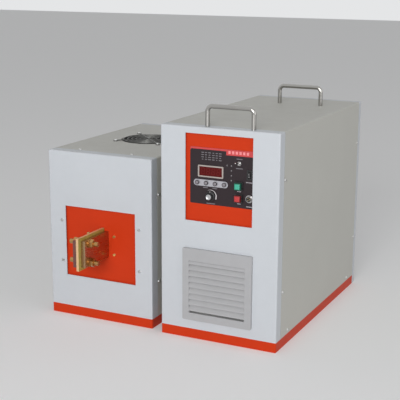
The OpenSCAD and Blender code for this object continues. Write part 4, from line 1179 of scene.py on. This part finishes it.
@dataclass
class PowerKnob:
    """The knob: a skirt, a ribbed waist, a bright cap and a pointer line."""

    face: float = PANEL_FACE
    place: tuple[float, float] = (107.0, 296.0)
    rib_count: int = 24
    rib: tuple[Point, Point] = ((6.4, -9.8, -0.28), (7.4, -4.6, 0.28))
    pointer: tuple[Point, Point] = ((-0.4, -4.5, 7.5), (0.4, -2.6, 10.0))
    grip: Sequence[ProfilePoint] = (
        (0, -0.3),
        (9.6, -0.3),
        (10.0, -0.8),
        (10.0, -2.9),
        (9.3, -3.9),
        (7.4, -4.3),
        (7.0, -4.8),
        (6.6, -9.9),
        (6.0, -10.7),
        (5.3, -10.8),
        (0, -10.8),
    )
    cap: Sequence[ProfilePoint] = (
        (0, -10.5),
        (5.3, -10.5),
        (5.3, -11.8),
        (4.9, -12.22),
        (4.4, -12.3),
        (4.1, -12.1),
        (0, -11.9),
    )

    def build(self, shop: Workshop) -> None:
        """Make the knob's pieces.

        Args:
            shop: the workshop.
        """
        centre = power(self.place[0], self.face, self.place[1])
        grip = Shape().lathe(self.grip, centre, steps=72)
        shop.piece("power_knob_grip", grip, Body.KNOB, BLACK, replaces=["power_knob"])
        ribs = Shape()
        for i in range(self.rib_count):
            low, high = (centre + Vector(corner) * MM for corner in self.rib)
            rib = Shape().block(low, high, edge_mm=0.2, steps=1)
            rib.turn(FULL_TURN * i / self.rib_count, centre, Vector((0, 1, 0)))
            mesh = bpy.data.meshes.new("rib")
            rib.mesh.to_mesh(mesh)
            ribs.mesh.from_mesh(mesh)
            rib.mesh.free()
            bpy.data.meshes.remove(mesh)
        shop.piece("power_knob_ribs", ribs, Body.KNOB, BLACK)
        shop.piece("power_knob_cap", Shape().lathe(self.cap, centre), Body.KNOB, CAP_SILVER)
        low, high = (centre + Vector(corner) * MM for corner in self.pointer)
        line = Shape().block(low, high, edge_mm=0.15, steps=1)
        shop.piece("power_knob_pointer", line, Body.KNOB, PRINT)


@dataclass
class ToggleSwitch:
    """The toggle switch's case, nut and bushing, the bushing in a brighter metal as painted highlight."""

    face: float = PANEL_FACE
    place: tuple[float, float] = (166.5, 365.3)
    case_size: tuple[float, float] = (8.0, 13.0)
    case_depths: tuple[float, float] = (7.0, 17.0)
    nut: Sequence[ProfilePoint] = ((0, 0.0), (4.5, 0.0), (4.6, -0.2), (4.6, -1.6), (4.1, -2.0), (0, -2.0))
    bushing: Sequence[ProfilePoint] = (
        (0, 1.0),
        (2.4, 1.0),
        (2.4, -4.7),
        (2.6, -5.0),
        (2.85, -5.0),
        (3.0, -4.8),
        (3.0, 2.45),
        (0, 2.45),
    )

    def build(self, shop: Workshop) -> None:
        """Make the switch's fixed pieces and dress its lever in a darker metal as painted shade.

        Args:
            shop: the workshop.
        """
        centre = power(self.place[0], self.face, self.place[1])
        tube = Shape().lathe(self.bushing, centre)
        shop.piece("toggle_bushing", tube, Body.POWER, BUSHING_PAINTED_HIGHLIGHT, replaces=["toggle_body"])
        shop.piece("toggle_nut", Shape().lathe(self.nut, centre, steps=6), Body.POWER, NICKEL)
        case = Shape().block(*panel_box(self.place, *self.case_size, self.case_depths), edge_mm=0.4)
        shop.piece("toggle_case", case, Body.POWER, BLACK)
        shop.dress(LEVER_PAINTED_SHADE, "toggle_lever")


@dataclass
class RockerMarks:
    """The ON and OFF marks on the rocker: a stroke and a ring."""

    pivot: Point = (188.0, 5.0, 345.0)
    tilt: float = 9.0
    face_out: float = 4.5
    proud: float = 0.06
    ink: float = 0.2
    place: float = 2.5
    stroke_half: tuple[float, float] = (0.3, 1.1)
    ring_inner: float = 0.65
    ring_width: float = 0.5

    def build(self, shop: Workshop) -> None:
        """Make both marks on the tilted face.

        Args:
            shop: the workshop.
        """
        pivot = power(*self.pivot)
        front = -self.face_out - self.proud
        half_x, half_z = self.stroke_half
        low = pivot + Vector((-half_x, front, self.place - half_z)) * MM
        high = pivot + Vector((half_x, front + self.ink, self.place + half_z)) * MM
        marks = Shape().block(low, high)
        centre = pivot + Vector((0, front, -self.place)) * MM
        marks.arc(centre, self.ring_inner, (self.ring_width, self.ring_width), (0.0, 360.0), self.ink)
        marks.turn(math.radians(self.tilt), pivot, Vector((1, 0, 0)))
        shop.piece("rocker_marks", marks, Body.ROCKER, PRINT)


@dataclass
class ControlPanel(Dressed):
    """The devices on the power unit's control panel."""

    coats: Sequence[Coat] = (
        (OVERLAY, ("panel_overlay",)),
        (BEZEL, ("display_bezel",)),
        (DISPLAY, ("display_window",)),
        (STRIP, ("key_strip",)),
        (ZINC, ("potentiometer",)),
        (NICKEL, ("foot_switch_socket",)),
        (BLACK, ("button_housings", "rocker_housing", "rocker")),
        (BOARD, ("control_board",)),
    )
    face: float = PANEL_FACE
    column: float = 107.0
    button_x: float = 166.5
    key_pitch: float = 19.1
    key_z: float = 321.3
    key_out: float = 3.7
    key_ring: Sequence[ProfilePoint] = (
        (0, 11.0),
        (1.95, 11.0),
        (1.95, 1.6),
        (4.1, 1.6),
        (4.3, 1.4),
        (4.3, 0.35),
        (4.05, 0.05),
        (3.3, 0.1),
        (2.9, 0.5),
        (0, 0.5),
    )
    key_dome: Sequence[ProfilePoint] = (
        (0, 0.7),
        (2.95, 0.7),
        (2.95, 0.35),
        (2.5, 0.12),
        (1.4, 0.02),
        (0, 0.0),
    )
    cap_out: float = 11.0
    cap_width: float = 13.0
    cap_depths: tuple[float, float] = (0.5, 7.2)
    cap_stem: Sequence[ProfilePoint] = ((0, 7.0), (2.45, 7.0), (2.45, 17.2), (0, 17.2))
    cap_face_width: float = 10.0
    cap_face_t: float = 1.2
    start_z: float = 322.2
    stop_z: float = 298.4
    socket: tuple[float, float] = (188.0, 299.0)
    display_z: float = 344.5
    led_places: Sequence[tuple[float, float]] = (
        (150.0, 359.3),
        (150.0, 349.85),
        (150.0, 340.4),
        (150.0, 330.95),
        (141.0, 359.3),
    )
    led_lens: Sequence[ProfilePoint] = (
        (0, 6.0),
        (1.5, 6.0),
        (1.5, -0.1),
        (1.35, -0.6),
        (0.9, -0.92),
        (0, -1.0),
    )
    led_ring: Sequence[ProfilePoint] = ((1.5, 0.05), (2.3, 0.05), (2.3, -0.25), (2.1, -0.4), (1.5, -0.4))
    core: Sequence[ProfilePoint] = ((0, 2.05), (4.9, 2.05), (4.9, 1.7), (0, 1.7))
    core_out: float = 5.0
    pin: Sequence[ProfilePoint] = ((0, 1.9), (0.8, 1.9), (0.8, 0.8), (0.6, 0.5), (0, 0.4))
    pin_count: int = 3
    pin_circle: float = 2.6
    digit_count: int = 4
    digit_first: float = -16.5
    digit_pitch: float = 11.0
    digit_lean: float = 0.09
    digit_depths: tuple[float, float] = (2.94, 3.1)
    digit_bars: Sequence[tuple[float, float, float, float]] = (
        (0.0, 6.0, 5.0, 0.9),
        (0.0, 0.0, 5.0, 0.9),
        (0.0, -6.0, 5.0, 0.9),
        (-3.1, 3.0, 0.9, 4.8),
        (3.1, 3.0, 0.9, 4.8),
        (-3.1, -3.0, 0.9, 4.8),
        (3.1, -3.0, 0.9, 4.8),
    )

    def build(self, shop: Workshop) -> None:
        """Dress the panel's nodes and build its detailed pieces.

        Args:
            shop: the workshop.
        """
        super().build(shop)
        self.keys(shop)
        self.buttons(shop)
        self.leds(shop)
        self.socket_core(shop)
        self.segments(shop)
        for part in (PowerKnob(), ToggleSwitch(), RockerMarks(), PanelPrint()):
            part.build(shop)

    def keys(self, shop: Workshop) -> None:
        """Round keys: a dark ring with a domed face.

        Args:
            shop: the workshop.
        """
        bodies = (Body.KEY_A, Body.KEY_B, Body.KEY_C, Body.KEY_D)
        middle = (len(bodies) - 1) / 2
        for i, body in enumerate(bodies):
            centre = power(self.column + (i - middle) * self.key_pitch, self.face - self.key_out, self.key_z)
            ring = Shape().lathe(self.key_ring, centre)
            shop.piece(f"key_ring_{i + 1}", ring, body, KEY_RING, replaces=[f"key_{i + 1}"])
            shop.piece(f"key_dome_{i + 1}", Shape().lathe(self.key_dome, centre), body, KEY_FACE)

    def buttons(self, shop: Workshop) -> None:
        """Square caps with a soft edge, a bright face, and sides in a darker copy of the cap colour as
        painted shade.

        Args:
            shop: the workshop.
        """
        # Each cap takes the darker copy as painted shade on its sides; the face goes over it in the bright
        # colour.
        for name, z, body, painted_shade_side, face in (
            ("start", self.start_z, Body.START, GREEN_PAINTED_SHADE, GREEN),
            ("stop", self.stop_z, Body.STOP, RED_PAINTED_SHADE, RED),
        ):
            place, tip = (self.button_x, z), self.face - self.cap_out
            depths = (tip + self.cap_depths[0], tip + self.cap_depths[1])
            box = panel_box(place, self.cap_width, self.cap_width, depths)
            cap = Shape().lathe(self.cap_stem, power(self.button_x, tip, z))
            cap.block(*box, edge_mm=1.0, steps=3)
            shop.piece(f"{name}_button_cap", cap, body, painted_shade_side, replaces=[f"{name}_button"])
            box = panel_box(place, self.cap_face_width, self.cap_face_width, (tip, tip + self.cap_face_t))
            shop.piece(f"{name}_button_face", Shape().block(*box, edge_mm=0.45, steps=3), body, face)

    def leds(self, shop: Workshop) -> None:
        """Domed lenses of the indicators, each in a dark ring.

        Args:
            shop: the workshop.
        """
        lenses, rings = Shape(), Shape()
        for x, z in self.led_places:
            place = power(x, self.face, z)
            lenses.lathe(self.led_lens, place, steps=24)
            rings.lathe(self.led_ring, place, steps=24)
        shop.piece("indicator_lenses", lenses, Body.POWER, LED, replaces=["indicator_leds"])
        shop.piece("indicator_rings", rings, Body.POWER, BLACK)

    def socket_core(self, shop: Workshop) -> None:
        """Dark insulator in the foot switch socket, with its contacts.

        Args:
            shop: the workshop.
        """
        centre = power(self.socket[0], self.face - self.core_out, self.socket[1])
        shop.piece("socket_insulator", Shape().lathe(self.core, centre), Body.POWER, BLACK)
        pins = Shape()
        for i in range(self.pin_count):
            angle = FULL_TURN * i / self.pin_count
            place = centre + Vector((math.cos(angle), 0, -math.sin(angle))) * self.pin_circle * MM
            pins.lathe(self.pin, place, steps=16)
        shop.piece("socket_contacts", pins, Body.POWER, BRASS)

    def segments(self, shop: Workshop) -> None:
        """Unlit digit segments on the display window.

        Args:
            shop: the workshop.
        """
        shape = Shape()
        for digit in range(self.digit_count):
            x0 = self.column + self.digit_first + digit * self.digit_pitch
            for dx, dz, width, height in self.digit_bars:
                place = (x0 + dx + self.digit_lean * dz, self.display_z + dz)
                shape.block(*panel_box(place, width, height, self.digit_depths))
        shop.piece("display_segments", shape, Body.POWER, SEGMENT)


@dataclass
class AirIntake(Dressed):
    """The grille, filter and fan in the power unit's front."""

    coats: Sequence[Coat] = (
        (GRILLE, ("vent_grille",)),
        (FIBRE, ("filter_mat",)),
        (BLACK, ("intake_fan_frame", "intake_fan_rotor")),
    )


@dataclass
class Interior(Dressed):
    """What the two cabinets hold."""

    coats: Sequence[Coat] = (
        (ALUMINIUM, ("heatsink",)),
        (MODULE, ("igbt_modules",)),
        (SLEEVE, ("bus_capacitors",)),
        (VARNISH, ("power_choke",)),
        (FERRITE, ("ferrite_core",)),
        (TAPE, ("primary_coil",)),
        (COPPER, ("secondary_turn",)),
        (TANK_CAN, ("tank_capacitors",)),
    )


@dataclass
class CoilTerminals(Dressed):
    """Copper plates, board and bolts in front of the transformer unit."""

    coats: Sequence[Coat] = (
        (DARKER_COPPER, ("terminal_plate_left",)),
        (WORN_COPPER, ("terminal_plate_right",)),
        (EPOXY, ("insulator_board",)),
        (BOLT_BRASS, ("clamp_bolts",)),
        (BRASS, ("panel_screws",)),
    )


@dataclass
class TopFan(Dressed):
    """The fan under the opening in the transformer unit's top, with its guard."""

    coats: Sequence[Coat] = ((BLACK, ("top_fan_frame", "top_fan_rotor")), (GUARD_WIRE, ("finger_guard",)))


@dataclass
class RearFittings(Dressed):
    """Gland, hose nipples and studs at the rear."""

    coats: Sequence[Coat] = (
        (BLACK, ("cable_gland",)),
        (BRASS, ("water_nipples", "transformer_nipples", "output_terminals", "transformer_inputs")),
    )


@dataclass(frozen=True)
class Lamp:
    """A square lamp: its place and side in metres, and its watts."""

    name: str
    place: Point
    size: float
    watts: float


@dataclass
class Studio:
    """Floor, world, lamps and the camera."""

    camera_place: Point = (902.12, -1872.08, 725.02)
    yaw: float = -26.098
    pitch: float = 13.450
    roll: float = 0.266
    lens: float = 87.468
    sensor: float = 36.0
    far: float = 60.0
    floor_half: float = 12.0
    sky: float = 0.36
    sky_colour: Colour = (0.92, 0.93, 0.94)
    backdrop: float = 0.85
    floor_colour: Colour = (0.80, 0.80, 0.80)
    floor_rough: float = 0.95
    floor_specular: float = 0.1
    floor_glow: float = 0.14
    aim: Point = (0.0, 0.0, 0.2)
    lamps: Sequence[Lamp] = (
        Lamp("key_lamp", (0.8, -3.8, 1.4), 1.6, 84.0),
        Lamp("fill_lamp", (3.6, -0.7, 1.0), 2.4, 22.0),
    )

    def build(self) -> None:
        """Set up the stage."""
        scene = bpy.context.scene
        scene.view_settings.view_transform = "Standard"
        self.floor()
        self.world(scene)
        for lamp in self.lamps:
            self.hang(lamp)
        scene.camera = self.camera()

    def camera(self) -> bpy.types.Object:
        """Make the camera at the photograph's viewpoint.

        Returns:
            The camera object.
        """
        data = bpy.data.cameras.new("view_camera")
        data.sensor_width = self.sensor
        data.lens = self.lens
        data.clip_end = self.far
        made = bpy.data.objects.new("view_camera", data)
        bpy.context.scene.collection.objects.link(made)
        yaw, pitch, roll = (math.radians(v) for v in (self.yaw, self.pitch, self.roll))
        forward = Vector((math.sin(yaw) * math.cos(pitch), math.cos(yaw) * math.cos(pitch), -math.sin(pitch)))
        level = Vector((math.cos(yaw), -math.sin(yaw), 0.0))
        upright = level.cross(forward)
        right = level * math.cos(roll) + upright * math.sin(roll)
        top = upright * math.cos(roll) - level * math.sin(roll)
        turn = Matrix((right, top, -forward)).transposed().to_4x4()
        made.matrix_world = Matrix.Translation(Vector(self.camera_place) * MM) @ turn
        return made

    @staticmethod
    def seen_directly(sheet: NodeSheet) -> bpy.types.NodeSocket:
        """One where a ray comes from the camera, or from metal or glass, and zero elsewhere.

        Args:
            sheet: the sheet of a material or a world.

        Returns:
            The value's socket.
        """
        path = sheet.add("LightPath")
        glossy = sheet.math("MAXIMUM", path.outputs["Is Camera Ray"], path.outputs["Is Glossy Ray"])
        return sheet.math("MAXIMUM", glossy, path.outputs["Is Transmission Ray"])

    def floor(self) -> None:
        """Pale floor that keeps the object's shadow."""
        mesh = bpy.data.meshes.new("floor")
        half = self.floor_half
        corners = [(-half, -half, 0), (half, -half, 0), (half, half, 0), (-half, half, 0)]
        mesh.from_pydata(corners, [], [(0, 1, 2, 3)])
        made = bpy.data.objects.new("floor", mesh)
        bpy.context.scene.collection.objects.link(made)
        material = bpy.data.materials.new("floor_paper")
        sheet = MaterialSheet(material, SharedGroups(), self.floor_specular)
        glow = sheet.math("MULTIPLY", self.seen_directly(sheet), self.floor_glow)
        sheet.feed(sheet.shader, Base_Color=(*self.floor_colour, 1.0), Roughness=self.floor_rough)
        sheet.feed(sheet.shader, Emission_Color=WHITE, Emission_Strength=glow)
        mesh.materials.append(material)

    def world(self, scene: bpy.types.Scene) -> None:
        """Soft surround light, and a pale backdrop that metal and glass show too.

        Args:
            scene: the scene that takes the world.
        """
        world = bpy.data.worlds.new("studio_world")
        world.use_nodes = True
        scene.world = world
        sheet = NodeSheet(world.node_tree)
        lift = sheet.math("MULTIPLY", self.seen_directly(sheet), self.backdrop - self.sky)
        light = sheet.add("Background")
        sheet.feed(light, Color=(*self.sky_colour, 1.0), Strength=sheet.math("ADD", lift, self.sky))
        sheet.join(light.outputs[0], sheet.add("OutputWorld").inputs["Surface"])

    def hang(self, lamp: Lamp) -> None:
        """Add a lamp that faces the object.

        Args:
            lamp: the lamp.
        """
        data = bpy.data.lights.new(lamp.name, "AREA")
        data.size = lamp.size
        data.energy = lamp.watts
        made = bpy.data.objects.new(lamp.name, data)
        bpy.context.scene.collection.objects.link(made)
        made.location = lamp.place
        aim = Vector(self.aim) - Vector(lamp.place)
        made.rotation_mode = "QUATERNION"
        made.rotation_quaternion = aim.to_track_quat("-Z", "Y")


def main() -> None:
    """Build the whole visual model."""
    logging.basicConfig(level=logging.INFO, format="%(name)s: %(message)s")
    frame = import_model()
    shop = Workshop(frame["nodes"])
    for kind in (Cabinets, ControlPanel, AirIntake, Interior, CoilTerminals, TopFan, RearFittings):
        kind().build(shop)
        LOG.info("%s built", kind.__name__)
    Studio().build()


if __name__ == "__main__":
    main()
